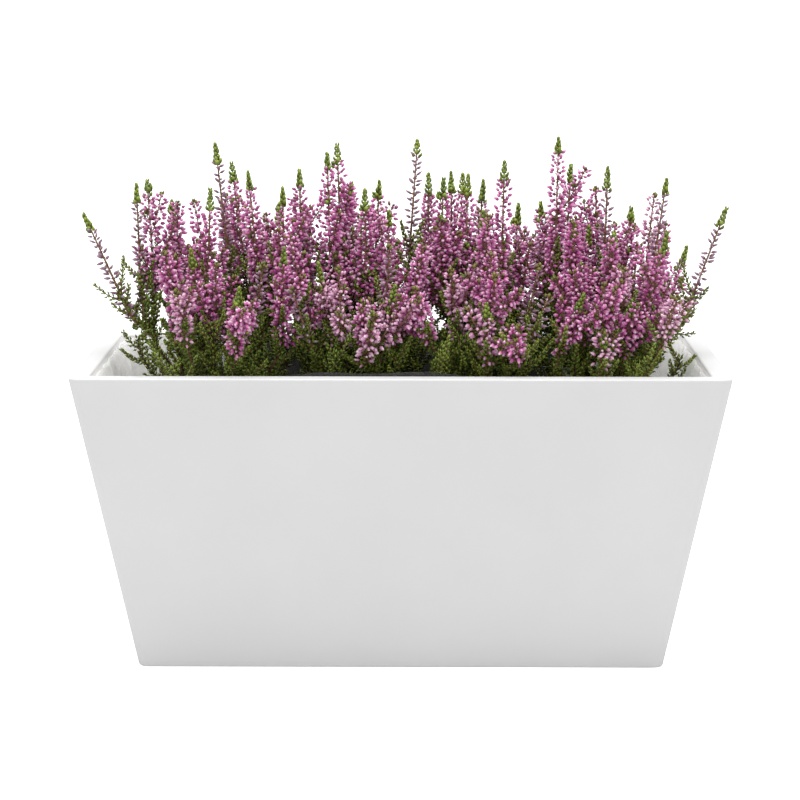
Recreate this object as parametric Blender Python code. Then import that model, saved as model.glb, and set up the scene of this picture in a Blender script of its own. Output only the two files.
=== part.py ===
"""Potted heather: a tapered trough planter with a film liner, peat, four plants and their flower spikes.

The layout works in millimetres and the meshes are made in metres, with +Z up.
The origin is the middle of the planter's base and the planter's front faces -Y.
"""
import math

import bpy
import numpy as np

MM = 0.001

# Planter
PLANTER_LENGTH = 400.0
PLANTER_DEPTH = 180.0
PLANTER_HEIGHT = 190.0
PLANTER_TAPER = 35.0
PLANTER_WALL = 12.0
PLANTER_CORNER = 6.0
PLANTER_EDGE = 1.2
CORNER_STEPS = 3
FIT_GAP = 0.35

# Film liner and growing medium
FILM = 0.8
FILM_EDGE_DROP = 2.0
FILM_EDGE_LIFT = 5.0
FILM_EDGE_SLACK = 0.5
FILM_LEAN = 5.0
FILM_SIDE_CELLS = (1, 12)
SOIL_TOP = 153.0
SOIL_BUMP = 1.2
SOIL_CELLS = (10, 5)
SOIL_CORNER = 0.012

# Plants
CROWNS = ((-116.0, -3.0), (-26.0, 4.0), (52.0, -4.0), (134.0, 3.0))
CROWN_RADIUS = 5.5
CROWN_FOOT = 118.0
CROWN_TOP = 161.0
CROWN_SIDES = 10
ROOT_HEIGHT = 158.5
ROOT_RING = 2.5
SEAT_GAP = 0.3
SEED = 11

# Stems: points along each path, and radii in millimetres
STALK_POINTS = 6
SPIKE_POINTS = 8
WOOD_RADIUS = 1.3
LEAFY_RADIUS = 3.1
STALK_RADIUS = 1.0
SPIKE_REACH = 6.6
TIP_REACH = 3.0
TIP_LENGTH = 14.0
SEAT_POINT = 3
FORK_SHARES = (0.15, 0.6)
SPIKE_NODES = 53
SPRAY_MOST = 3

# Spikes placed by eye from the photo: kind, foot and tip
PLACED = (
    ("thin", (-170, 0, 213), (-200, 0, 281)),
    ("thin", (-165, 6, 224), (-167, 10, 298)),
    ("full", (-159, 12, 232), (-163, 16, 301)),
    ("full", (-142, 16, 223), (-147, 22, 287)),
    ("full", (-125, -24, 208), (-130, -30, 262)),
    ("full", (-123, -8, 212), (-119, -8, 297)),
    ("thin", (-107, 10, 220), (-118, 16, 323)),
    ("full", (-99, 22, 228), (-109, 30, 310)),
    ("full", (-88, 3, 222), (-96, 6, 307)),
    ("full", (-77, 13, 218), (-80, 20, 283)),
    ("full", (-73, -2, 222), (-74, 0, 298)),
    ("full", (-64, 17, 228), (-66, 24, 306)),
    ("full", (-45, 3, 228), (-47, 7, 319)),
    ("full", (-37, 13, 234), (-40, 17, 323)),
    ("pale", (-34, 26, 228), (-32, 34, 297)),
    ("full", (-22, -3, 224), (-23, 0, 296)),
    ("full", (-18, 16, 228), (-14, 26, 300)),
    ("full", (-10, -9, 222), (-8, -10, 284)),
    ("thin", (5, 12, 240), (11, 20, 326)),
    ("full", (17, 26, 228), (17, 36, 303)),
    ("full", (23, -1, 224), (26, 4, 303)),
    ("full", (32, 12, 228), (31, 22, 305)),
    ("full", (37, 26, 228), (40, 36, 303)),
    ("full", (42, 5, 224), (44, 10, 304)),
    ("pale", (47, 18, 222), (52, 28, 299)),
    ("full", (52, -15, 218), (51, -17, 284)),
    ("full", (62, 2, 224), (64, 6, 314)),
    ("full", (71, 17, 223), (75, 26, 284)),
    ("pale", (94, 15, 222), (89, 24, 286)),
    ("full", (97, 4, 230), (99, 12, 328)),
    ("full", (105, 20, 228), (109, 32, 309)),
    ("full", (106, -13, 218), (109, -15, 276)),
    ("full", (116, 10, 217), (119, 20, 270)),
    ("thin", (127, 4, 224), (129, 10, 309)),
    ("full", (129, -12, 217), (133, -14, 271)),
    ("full", (140, 7, 218), (147, 11, 284)),
    ("thin", (155, 5, 212), (168, 14, 302)),
    ("full", (158, -11, 212), (166, -15, 271)),
    ("thin", (170, 14, 215), (183, 24, 258)),
    ("thin", (178, -2, 211), (205, 3, 284)),
    ("full", (-100, -51, 201), (-96, -60, 243)),
    ("pale", (-43, -32, 203), (-50, -42, 255)),
    ("full", (-73, -36, 207), (-70, -44, 265)),
    ("pale", (-10, -48, 203), (-2, -56, 243)),
    ("pale", (-22, -56, 196), (-17, -66, 228)),
    ("pale", (54, -52, 196), (53, -60, 234)),
    ("full", (72, -62, 199), (60, -68, 216)),
    ("full", (98, -48, 201), (112, -56, 237)),
    ("full", (138, -44, 200), (141, -52, 234)),
    ("pale", (122, -62, 194), (124, -67, 216)),
)

# Spikes placed by rule in rows: first and last x, count, foot y, tip y, tip height
ROWS = (
    (-130.0, 160.0, 9, -46.0, -60.0, 238.0),
    (-136.0, 158.0, 13, -30.0, -42.0, 262.0),
    (-128.0, 150.0, 9, 4.0, 8.0, 270.0),
    (-140.0, 164.0, 9, 30.0, 46.0, 284.0),
    (-146.0, 166.0, 12, 44.0, 66.0, 262.0),
)
FOOT_HEIGHT = 206.0
ROW_JITTER = 6.0
ROW_LEAN = 0.16
ROW_KINDS = ("full", "full", "full", "full", "pale", "thin")

# Rows of buds and of leaves along a stem, in millimetres
SPIKE_SIDES = 3
STEM_SIDES = 3
RIB_TWIST = 0.5
BUD_PITCH = 10.6
THIN_PITCH = 5.6
BUD_RISE = 2.0
FULL_CORE = 3.7
THIN_CORE = 1.0
TIP_CORE = (1.2, 1.6, 1.2)
TIP_RISE = 2.2
LEAF_CORE = 1.5
LEAF_PITCH = 12.0
LEAF_RISE = 2.2
LEAFY_FROM = 171.0

# Leafy shoots round each crown, in rings: how far along x, how far along y, and tip height
SHOOTS = 6
SHOOT_RINGS = ((28.0, 42.0, 212.0), (46.0, 64.0, 199.0))
SHOOT_JITTER = 7.0

# Parting of the stems
ROUNDS = 140
CLEARANCE = 1.1
STEP_LIMIT = 2.0
HELD = 0.3


def unit(vectors):
    """Each row divided by its length."""
    return vectors / np.maximum(np.linalg.norm(vectors, axis=-1, keepdims=True), 1e-9)


def hermite(start, end, start_pull, end_pull, count):
    """Points of the cubic that leaves start along start_pull and meets end along end_pull."""
    t = np.linspace(0.0, 1.0, count)[:, None]
    return ((2 * t**3 - 3 * t**2 + 1) * start + (t**3 - 2 * t**2 + t) * start_pull
            + (3 * t**2 - 2 * t**3) * end + (t**3 - t**2) * end_pull)


def row_spikes(draw):
    """Spikes in rows along the planter, each leaning outwards, with a seeded jitter."""
    spikes = []
    for first, last, count, foot_y, tip_y, height in ROWS:
        for x in np.linspace(first, last, count):
            dx, dy, dz = draw.uniform(-ROW_JITTER, ROW_JITTER, 3)
            centre = min(CROWNS, key=lambda crown: abs(crown[0] - x))[0]
            lean = ROW_LEAN * (x - centre)
            foot = (x + dx - lean, foot_y + 0.5 * dy, FOOT_HEIGHT + 0.5 * dz)
            tip = (x + dx + lean, tip_y + 0.5 * dy, height + 2.0 * dz)
            spikes.append((str(draw.choice(ROW_KINDS)), foot, tip))
    return spikes


def leafy_shoots(draw):
    """Tips of the short green shoots, on two ellipses round each crown."""
    shoots = []
    for plant, (x, y) in enumerate(CROWNS):
        for along, deep, height in SHOOT_RINGS:
            for angle in np.arange(SHOOTS) * math.tau / SHOOTS + draw.uniform(0, 1):
                dx, dy, dz = draw.uniform(-SHOOT_JITTER, SHOOT_JITTER, 3)
                tip = (x + along * math.cos(angle) + dx, y + deep * math.sin(angle) + 0.5 * dy, height + dz)
                shoots.append((plant, tip))
    return shoots


def nearest_crown(point):
    """Index of the crown whose x is closest to a point's."""
    return min(range(len(CROWNS)), key=lambda i: abs(CROWNS[i][0] - point[0]))


def root_of(plant, target):
    """Start of a stem on its crown, on the side that faces the target."""
    centre = np.array([*CROWNS[plant], ROOT_HEIGHT])
    side = unit(np.array([target[0] - centre[0], target[1] - centre[1], 0.0]))
    return centre + ROOT_RING * side, side


def group_spikes(spikes, plants):
    """Sprays of one to three spikes: the closest feet on one plant join first, until SPIKE_NODES are left."""
    feet = np.array([foot for _, foot, _ in spikes], float)
    gaps = np.linalg.norm(feet[:, None] - feet[None], axis=2)
    order = [(gaps[i, j], i, j) for i in range(len(spikes)) for j in range(i + 1, len(spikes))
             if plants[i] == plants[j]]
    sprays = {i: [i] for i in range(len(spikes))}
    for _, i, j in sorted(order):
        if len(sprays) <= SPIKE_NODES:
            break
        if i in sprays and j in sprays and len(sprays[i]) + len(sprays[j]) <= SPRAY_MOST:
            keeper, joiner = (i, j) if len(sprays[i]) >= len(sprays[j]) else (j, i)
            sprays[keeper] += sprays.pop(joiner)
    return list(sprays.values())


def stem_path(root, side, foot, tip, spread):
    """A stem from its root, out and up to the foot of its spike, then along the spike."""
    rise = np.linalg.norm(foot - root)
    along = unit(tip - foot) * rise
    lower = hermite(root, foot, (spread * side + np.array([0, 0, 0.55])) * rise, along, STALK_POINTS)
    t = np.linspace(0.0, 1.0, SPIKE_POINTS + 1)[1:, None]
    return np.vstack([lower, foot + t * (tip - foot)])


def fork_point(path, share):
    """Where a side stem leaves the stalk of its main stem, a share of the way to the next point."""
    return path[SEAT_POINT] + share * (path[SEAT_POINT + 1] - path[SEAT_POINT])


def inner_half(height):
    """Half length and half depth of the planter's inside at each height."""
    lean = PLANTER_TAPER * (1.0 - np.minimum(height / PLANTER_HEIGHT, 1.0))
    return np.stack([PLANTER_LENGTH / 2 - PLANTER_WALL - lean, PLANTER_DEPTH / 2 - PLANTER_WALL - lean], axis=-1)


def keep_inside(paths, radii):
    """Points lower than the rim stay clear of the walls and the film."""
    room = inner_half(paths[..., 2]) - (radii + FILM + 1.5)[..., None]
    held = np.clip(paths[..., :2], -room, room)
    low = paths[..., 2:] < PLANTER_HEIGHT + 7.0
    paths[..., :2] = np.where(low, held, paths[..., :2])


def part_stems(paths, radii, node, flower, main, share, hold):
    """Pushes stems of different nodes apart, sideways only, and smooths each move along its stem."""
    start = paths.copy()
    count, points, _ = paths.shape
    stem = np.repeat(np.arange(count), points)
    home = node.ravel()
    bloom = flower.ravel()
    apart = (home[:, None] != home) | (bloom[:, None] & bloom & (stem[:, None] != stem))
    need = (radii.ravel()[:, None] + radii.ravel() + CLEARANCE) * apart
    for _ in range(ROUNDS):
        flat = paths.reshape(-1, 3)
        square = (flat**2).sum(1)
        gap = np.sqrt(np.maximum(square[:, None] + square - 2.0 * flat @ flat.T, 0.01))
        push = np.clip(need - gap, 0.0, None) / gap
        shift = 0.5 * (push.sum(1)[:, None] * flat - push @ flat)
        shift = np.clip(shift, -STEP_LIMIT, STEP_LIMIT).reshape(paths.shape)
        shift[..., 0] *= hold[:, None]
        shift[..., 2] = 0.0
        move = paths + shift - start
        move[:, 0] = 0.0
        for twin in np.flatnonzero(main >= 0):
            move[twin, 0] = fork_point(paths[main[twin]], share[twin]) - start[twin, 0]
        move[:, 1:-1] = 0.5 * move[:, 1:-1] + 0.25 * (move[:, 2:] + move[:, :-2])
        move[:, -1] = 0.6 * move[:, -1] + 0.4 * move[:, -2]
        paths = start + move
        keep_inside(paths, radii)
        paths = np.round(paths, 4)
    return paths


def plan_stems():
    """The whole planting: paths, and for each stem its kind, plant, node and main stem."""
    draw = np.random.default_rng(SEED)
    spikes = list(PLACED) + row_spikes(draw)
    shoots = leafy_shoots(draw)
    plants = [nearest_crown(foot) for _, foot, _ in spikes]
    sprays = group_spikes(spikes, plants)
    foot_index = STALK_POINTS - 1
    points = STALK_POINTS + SPIKE_POINTS
    count = len(spikes) + len(shoots)
    paths = np.zeros((count, points, 3))
    radii = np.full((count, points), LEAFY_RADIUS)
    node = np.zeros((count, points), int)
    flower = np.zeros((count, points), bool)
    main = np.full(count, -1)
    share = np.zeros(count)
    hold = np.ones(count)
    hold[:len(PLACED)] = HELD
    for number, (i, *twins) in enumerate(sprays, start=len(CROWNS)):
        _, foot, tip = spikes[i]
        root, side = root_of(plants[i], foot)
        paths[i] = stem_path(root, side, np.array(foot, float), np.array(tip, float), 0.9)
        node[i, :SEAT_POINT] = plants[i]
        node[i, SEAT_POINT:] = number
        radii[i, :2] = WOOD_RADIUS + 0.2
        for twin, share[twin] in zip(twins, FORK_SHARES):
            _, foot, tip = spikes[twin]
            fork = fork_point(paths[i], share[twin])
            side = unit(paths[i][SEAT_POINT + 1] - fork)
            paths[twin] = stem_path(fork, side, np.array(foot, float), np.array(tip, float), 0.6)
            node[twin] = number
            radii[twin, :foot_index] = STALK_RADIUS + 0.2
            main[twin] = i
    for number, (plant, tip) in enumerate(shoots, start=len(spikes)):
        root, side = root_of(plant, tip)
        end = np.array(tip)
        pull = np.linalg.norm(end - root)
        paths[number] = hermite(root, end, 1.1 * pull * side, np.array([0.0, 0.0, 1.0]) * pull, points)
        node[number] = plant
        radii[number, :3] = WOOD_RADIUS + 0.2
    radii[:len(spikes), foot_index] = 4.6
    radii[:len(spikes), foot_index + 1:-1] = SPIKE_REACH
    flower[:len(spikes), foot_index:] = True
    paths = part_stems(paths, radii, node, flower, main, share, hold)
    kinds = [kind for kind, _, _ in spikes]
    return {"paths": paths, "kinds": kinds, "plants": plants, "sprays": sprays, "main": main,
            "shoots": [(plant, len(spikes) + k) for k, (plant, _) in enumerate(shoots)]}


class Route:
    """A smooth curve through a stem's points, read by distance from its start."""

    def __init__(self, points):
        before = np.vstack([2 * points[0] - points[1], points[:-1]])
        after = np.vstack([points[1:], 2 * points[-1] - points[-2]])
        pull = 0.5 * (after - before)
        spans = [hermite(points[k], points[k + 1], pull[k], pull[k + 1], 7)[:-1] for k in range(len(points) - 1)]
        self.line = np.vstack(spans + [points[-1:]])
        steps = np.linalg.norm(np.diff(self.line, axis=0), axis=1)
        self.distance = np.concatenate([[0.0], np.cumsum(steps)])
        self.seat = self.distance[6 * SEAT_POINT]
        self.foot = self.distance[6 * (STALK_POINTS - 1)]
        self.length = self.distance[-1]

    def at(self, s):
        """Points at the distances s."""
        return np.stack([np.interp(s, self.distance, self.line[:, k]) for k in range(3)], axis=-1)

    def height(self, z):
        """Distance at which the stem first passes the height z."""
        return float(np.interp(z, np.maximum.accumulate(self.line[:, 2]), self.distance))

    def frames(self, s):
        """Points, and two directions across the stem that turn with it as little as they can."""
        centre = self.at(s)
        along = unit(self.at(s + 0.5) - self.at(s - 0.5))
        across = np.zeros_like(along)
        last = np.array([1.0, 0.3, 0.0])
        for k, direction in enumerate(along):
            last = unit(last - np.dot(last, direction) * direction)
            across[k] = last
        return centre, across, np.cross(along, across), along


def mesh_object(name, verts, faces, material):
    """A named object from points in millimetres."""
    mesh = bpy.data.meshes.new(name)
    mesh.from_pydata((np.asarray(verts) * MM).tolist(), [], faces)
    mesh.update()
    mesh.materials.append(material)
    obj = bpy.data.objects.new(name, mesh)
    bpy.context.scene.collection.objects.link(obj)
    return obj


def ribbed_tube(route, rings, sides, pole):
    """Closed tube on a route. rings are (distance, radius, reach, rise): where reach is set, each cell
    above that ring is drawn out to a point at that distance from the axis and lifted by rise."""
    s = np.array([ring[0] for ring in rings])
    centre, across, over, along = route.frames(s)
    twist = RIB_TWIST * np.cumsum([0.0] + [float(ring[2] > 0.0) for ring in rings[:-1]])
    verts = []
    for k, (_, radius, _, _) in enumerate(rings):
        angle = math.tau * (np.arange(sides) + twist[k]) / sides
        verts += list(centre[k] + radius * (np.cos(angle)[:, None] * across[k] + np.sin(angle)[:, None] * over[k]))
    faces = [tuple(range(sides - 1, -1, -1))]
    for k in range(len(rings) - 1):
        low, high = k * sides, (k + 1) * sides
        _, _, reach, rise = rings[k]
        for j in range(sides):
            a, b = low + j, low + (j + 1) % sides
            c, d = high + (j + 1) % sides, high + j
            if reach:
                angle = math.tau * (j + 0.5 + twist[k] + RIB_TWIST / 2) / sides
                middle = 0.5 * (centre[k] + centre[k + 1]) + rise * along[k]
                verts.append(middle + reach * (math.cos(angle) * across[k] + math.sin(angle) * over[k]))
                faces += [(a, b, len(verts) - 1), (b, c, len(verts) - 1), (c, d, len(verts) - 1),
                          (d, a, len(verts) - 1)]
            else:
                faces.append((a, b, c, d))
    if not pole:
        faces.append(tuple(range((len(rings) - 1) * sides, len(rings) * sides)))
        return verts, faces
    verts.append(route.at(np.array([route.length]))[0])
    last = (len(rings) - 1) * sides
    faces += [(last + j, last + (j + 1) % sides, len(verts) - 1) for j in range(sides)]
    return verts, faces


def spike_rings(route, start, kind):
    """Rings of one spike: bare stalk, rows of buds, then rows of tip leaves."""
    top = route.length - TIP_LENGTH
    pitch = BUD_PITCH if kind != "thin" else THIN_PITCH
    rows = max(2, round((top - route.foot) / pitch))
    marks = np.linspace(route.foot, top, rows + 1)
    rings = [(start, STALK_RADIUS, 0.0, 0.0)]
    if start:
        leaf_rows = max(1, round((route.foot - start) / LEAF_PITCH))
        leaf_marks = np.linspace(start, route.foot, leaf_rows + 1)
        rings = [(s, LEAF_CORE if k else STALK_RADIUS, LEAFY_RADIUS - 0.2, LEAF_RISE)
                 for k, s in enumerate(leaf_marks[:-1])]
    for k, s in enumerate(marks[:-1]):
        swell = 0.72 + 0.28 * math.sin(math.pi * (k + 1) / (rows + 1))
        if kind == "thin":
            reach = SPIKE_REACH * swell if k % 2 == 0 else 0.0
            rings.append((s, THIN_CORE, reach, BUD_RISE))
        else:
            rings.append((s, FULL_CORE if k else STALK_RADIUS, SPIKE_REACH * swell, BUD_RISE))
    rings.append((top, TIP_CORE[0], TIP_REACH, TIP_RISE))
    rings.append((top + TIP_LENGTH / 3, TIP_CORE[1], 0.9 * TIP_REACH, TIP_RISE))
    rings.append((top + 2 * TIP_LENGTH / 3, TIP_CORE[2], 0.0, 0.0))
    return rings


def leafy_rings(route, bare_end, end):
    """Rings of a woody stem that carries rows of scale leaves from bare_end to end."""
    rows = max(1, round((end - bare_end) / LEAF_PITCH))
    marks = np.linspace(bare_end, end, rows + 1)
    rings = [(0.0, WOOD_RADIUS, 0.0, 0.0), (0.5 * bare_end, WOOD_RADIUS, 0.0, 0.0)]
    rings += [(s, LEAF_CORE, LEAFY_RADIUS - 0.2, LEAF_RISE) for s in marks[:-1]]
    return rings + [(end, LEAF_CORE, 0.0, 0.0)]


def joined(name, pieces, material):
    """One object that is the union of several closed pieces."""
    base = mesh_object(name, *pieces[0], material)
    if len(pieces) == 1:
        return base
    group = bpy.data.collections.new(name + "_pieces")
    bpy.context.scene.collection.children.link(group)
    for number, (verts, faces) in enumerate(pieces[1:]):
        obj = mesh_object(f"{name}_piece_{number}", verts, faces, material)
        bpy.context.scene.collection.objects.unlink(obj)
        group.objects.link(obj)
    union = base.modifiers.new("union", "BOOLEAN")
    union.operation = "UNION"
    union.operand_type = "COLLECTION"
    union.collection = group
    for solver in ("EXACT", "MANIFOLD"):
        union.solver = solver
        solid = bpy.data.meshes.new_from_object(base.evaluated_get(bpy.context.evaluated_depsgraph_get()))
        if solid.vertices:
            break
    base.modifiers.clear()
    base.data = solid
    for obj in list(group.objects):
        bpy.data.objects.remove(obj)
    bpy.data.collections.remove(group)
    return base


def crown_trunk(plant):
    """The short woody trunk that stands in the soil."""
    x, y = CROWNS[plant]
    angle = math.tau * np.arange(CROWN_SIDES) / CROWN_SIDES
    ring = np.stack([x + CROWN_RADIUS * np.cos(angle), y + CROWN_RADIUS * np.sin(angle)], axis=-1)
    verts = np.vstack([np.column_stack([ring, np.full(CROWN_SIDES, z)]) for z in (CROWN_FOOT, CROWN_TOP)])
    faces = [tuple(range(CROWN_SIDES - 1, -1, -1)), tuple(range(CROWN_SIDES, 2 * CROWN_SIDES))]
    faces += [(j, (j + 1) % CROWN_SIDES, CROWN_SIDES + (j + 1) % CROWN_SIDES, CROWN_SIDES + j)
              for j in range(CROWN_SIDES)]
    return verts, faces


def plant_bodies(plan, material):
    """One body for each plant: its trunk, its stems up to the seats of the spikes, and its leafy shoots."""
    for plant in range(len(CROWNS)):
        pieces = [crown_trunk(plant)]
        for spray in plan["sprays"]:
            if plan["plants"][spray[0]] == plant:
                route = Route(plan["paths"][spray[0]])
                end = route.seat - SEAT_GAP
                bare = min(route.height(LEAFY_FROM), end - LEAF_PITCH)
                pieces.append(ribbed_tube(route, leafy_rings(route, bare, end), STEM_SIDES, False))
        for owner, index in plan["shoots"]:
            if owner == plant:
                route = Route(plan["paths"][index])
                bare = route.height(LEAFY_FROM)
                rings = leafy_rings(route, bare, route.length - LEAF_PITCH)
                pieces.append(ribbed_tube(route, rings, STEM_SIDES, True))
        joined(f"plant_{plant + 1}", pieces, material)


def spike_bodies(plan, materials):
    """One body for each spray: a spike on its stalk, or up to three that share a forked stalk."""
    for number, spray in enumerate(plan["sprays"]):
        pieces = []
        for index in spray:
            route = Route(plan["paths"][index])
            start = 0.0 if plan["main"][index] >= 0 else route.seat
            rings = spike_rings(route, start, plan["kinds"][index])
            pieces.append(ribbed_tube(route, rings, SPIKE_SIDES, True))
        joined(f"spike_{number + 1:02d}", pieces, materials[plan["kinds"][spray[0]]])


def rounded_outline(half_x, half_y, radius, steps):
    """Outline of a rectangle with round corners, anticlockwise from above."""
    corners = ((1, -1, -0.25), (1, 1, 0.0), (-1, 1, 0.25), (-1, -1, 0.5))
    points = []
    for sx, sy, turn in corners:
        angle = math.tau * (turn + 0.25 * np.linspace(0, 1, steps + 1))
        points.append(np.stack([sx * (half_x - radius) + radius * np.cos(angle),
                                sy * (half_y - radius) + radius * np.sin(angle)], axis=-1))
    return np.vstack(points)


def loft(rings):
    """Closed body through rings of equal point count, with both ends capped."""
    count = len(rings[0])
    faces = [tuple(range(count - 1, -1, -1))]
    for k in range(len(rings) - 1):
        faces += [(k * count + j, k * count + (j + 1) % count, (k + 1) * count + (j + 1) % count,
                   (k + 1) * count + j) for j in range(count)]
    faces.append(tuple(range((len(rings) - 1) * count, len(rings) * count)))
    return np.vstack(rings), faces


def level(outline, height):
    """An outline laid at a height, or at a height for each point."""
    return np.column_stack([outline, np.broadcast_to(height, len(outline))])


def planter(material):
    """Tapered trough: a loft up the outside, over the rounded rim and down the inside to the floor."""
    half = (PLANTER_LENGTH / 2, PLANTER_DEPTH / 2)
    inner_corner = PLANTER_CORNER - 2.0

    def outer(height, inset):
        lean = PLANTER_TAPER * (1.0 - height / PLANTER_HEIGHT) + inset
        return level(rounded_outline(half[0] - lean, half[1] - lean, PLANTER_CORNER, CORNER_STEPS), height)

    def inner(height, inset):
        room = inner_half(np.array(height)) + inset
        return level(rounded_outline(room[0], room[1], inner_corner, CORNER_STEPS), height)

    rings = [outer(0.0, PLANTER_EDGE), outer(PLANTER_EDGE, 0.0), outer(PLANTER_HEIGHT - PLANTER_EDGE, 0.0),
             outer(PLANTER_HEIGHT, PLANTER_EDGE), inner(PLANTER_HEIGHT, PLANTER_EDGE),
             inner(PLANTER_HEIGHT - PLANTER_EDGE, 0.0), inner(PLANTER_WALL, 0.0)]
    mesh_object("planter", *loft(rings), material)


def film_outline(height, inset):
    """Outline of the film at a height, a little inside the planter's inner faces."""
    room = inner_half(np.array(float(height))) - inset
    return rounded_outline(room[0], room[1], PLANTER_CORNER - 2.0 - inset, CORNER_STEPS)


def spaced(outline):
    """The outline with points added along its four straight sides."""
    points = []
    for k, (a, b) in enumerate(zip(outline, np.roll(outline, -1, axis=0))):
        side, last = divmod(k, CORNER_STEPS + 1)
        count = FILM_SIDE_CELLS[side % 2] if last == CORNER_STEPS else 1
        points.append(a + np.arange(count)[:, None] / count * (b - a))
    return np.vstack(points)


def film_edge(outline):
    """The film's top edge: lower than the rim, lifted in waves along the long sides, leaning in at the ends."""
    x = outline[:, 0] / (PLANTER_LENGTH / 2)
    wave = 0.5 + 0.3 * np.cos(7.0 * x + 0.6) + 0.2 * np.sin(17.0 * x)
    height = PLANTER_HEIGHT - FILM_EDGE_DROP + FILM_EDGE_LIFT * wave * np.clip(1.3 - 1.6 * np.abs(x), 0.0, 1.0)
    lean = FILM_LEAN * np.clip((np.abs(x) - 0.7) / 0.25, 0.0, 1.0)
    return np.column_stack([outline[:, 0] - np.sign(x) * lean, outline[:, 1], height])


def film_liner(material):
    """The film bag: a thin shell that follows the planter's inside up to its wavy edge."""
    def ring(height, inset):
        return level(spaced(film_outline(height, inset)), height)

    low = PLANTER_WALL + FIT_GAP
    shoulder = SOIL_TOP + 6.0
    outside = film_edge(spaced(film_outline(PLANTER_HEIGHT, FIT_GAP + FILM_EDGE_SLACK)))
    inside = film_edge(spaced(film_outline(PLANTER_HEIGHT, FIT_GAP + FILM_EDGE_SLACK + FILM)))
    rings = [ring(low, FIT_GAP), ring(shoulder, FIT_GAP), outside, inside,
             ring(shoulder, FIT_GAP + FILM), ring(low + FILM, FIT_GAP + FILM)]
    mesh_object("film_liner", *loft(rings), material)


def soil(material):
    """The peat: a tapered block with an uneven top and a plain hole for each crown."""
    nx, ny = SOIL_CELLS
    inset = FIT_GAP + FILM + FIT_GAP
    low = PLANTER_WALL + inset
    u, v = np.meshgrid(np.linspace(-1, 1, nx + 1), np.linspace(-1, 1, ny + 1), indexing="ij")
    corner = 1.0 - SOIL_CORNER * (np.abs(u * v) > 0.999)
    top = inner_half(np.array(SOIL_TOP)) - inset - 0.2
    bump = SOIL_BUMP * (np.sin(9.0 * u + 2.0 * v) + np.cos(5.0 * v - 4.0 * u)) / 2
    verts = np.stack([u * corner * top[0], v * corner * top[1], SOIL_TOP + bump], axis=-1).reshape(-1, 3)
    faces = []
    for i in range(nx):
        for j in range(ny):
            a = i * (ny + 1) + j
            faces.append((a, a + ny + 1, a + ny + 2, a + 1))
    edge = [i * (ny + 1) for i in range(nx + 1)] + [nx * (ny + 1) + j for j in range(1, ny + 1)]
    edge += [i * (ny + 1) + ny for i in range(nx - 1, -1, -1)] + list(range(ny - 1, 0, -1))
    foot = inner_half(np.array(low)) - inset - 0.2
    base = verts[edge] * np.array([foot[0] / top[0], foot[1] / top[1], 0.0]) + np.array([0.0, 0.0, low])
    first = len(verts)
    faces += [(edge[(k + 1) % len(edge)], edge[k], first + k, first + (k + 1) % len(edge))
              for k in range(len(edge))]
    faces.append(tuple(range(first + len(edge) - 1, first - 1, -1)))
    block = mesh_object("soil", np.vstack([verts, base]), faces, material)
    holes = bpy.data.collections.new("crown_holes")
    bpy.context.scene.collection.children.link(holes)
    for number, (x, y) in enumerate(CROWNS):
        depth = (SOIL_TOP - CROWN_FOOT + 8.0 + FIT_GAP) * MM
        bpy.ops.mesh.primitive_cylinder_add(
            vertices=CROWN_SIDES, radius=(CROWN_RADIUS + 2 * FIT_GAP) * MM, depth=depth,
            location=(x * MM, y * MM, (CROWN_FOOT - FIT_GAP) * MM + depth / 2))
        cutter = bpy.context.object
        cutter.name = f"crown_hole_{number + 1}"
        cutter.hide_render = True
        cutter.display_type = "WIRE"
        for owner in list(cutter.users_collection):
            owner.objects.unlink(cutter)
        holes.objects.link(cutter)
    cut = block.modifiers.new("crown_holes", "BOOLEAN")
    cut.operation = "DIFFERENCE"
    cut.operand_type = "COLLECTION"
    cut.collection = holes
    cut.solver = "EXACT"


def finish(name, colour, roughness):
    """A plain material of one colour."""
    material = bpy.data.materials.new(name)
    material.use_nodes = True
    shader = material.node_tree.nodes["Principled BSDF"]
    shader.inputs["Base Color"].default_value = (*colour, 1.0)
    shader.inputs["Roughness"].default_value = roughness
    return material


def main():
    for obj in list(bpy.data.objects):
        bpy.data.objects.remove(obj)
    planter(finish("white_satin", (0.86, 0.86, 0.84), 0.4))
    film_liner(finish("film", (0.75, 0.76, 0.74), 0.25))
    soil(finish("peat", (0.05, 0.035, 0.025), 0.95))
    plan = plan_stems()
    plant_bodies(plan, finish("heather_green", (0.14, 0.2, 0.05), 0.6))
    spike_bodies(plan, {
        "full": finish("heather_pink", (0.62, 0.25, 0.5), 0.6),
        "pale": finish("heather_pale_pink", (0.8, 0.55, 0.7), 0.6),
        "thin": finish("heather_mauve", (0.5, 0.35, 0.42), 0.6)})


main()
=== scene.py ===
"""Looks of the potted heather: satin planter, creased film, peat, leafy woody stems and spikes of pink buds.

Lengths are in millimetres until a mesh is made. The layout of the stems repeats the one of the solids.
"""
import math

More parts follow.
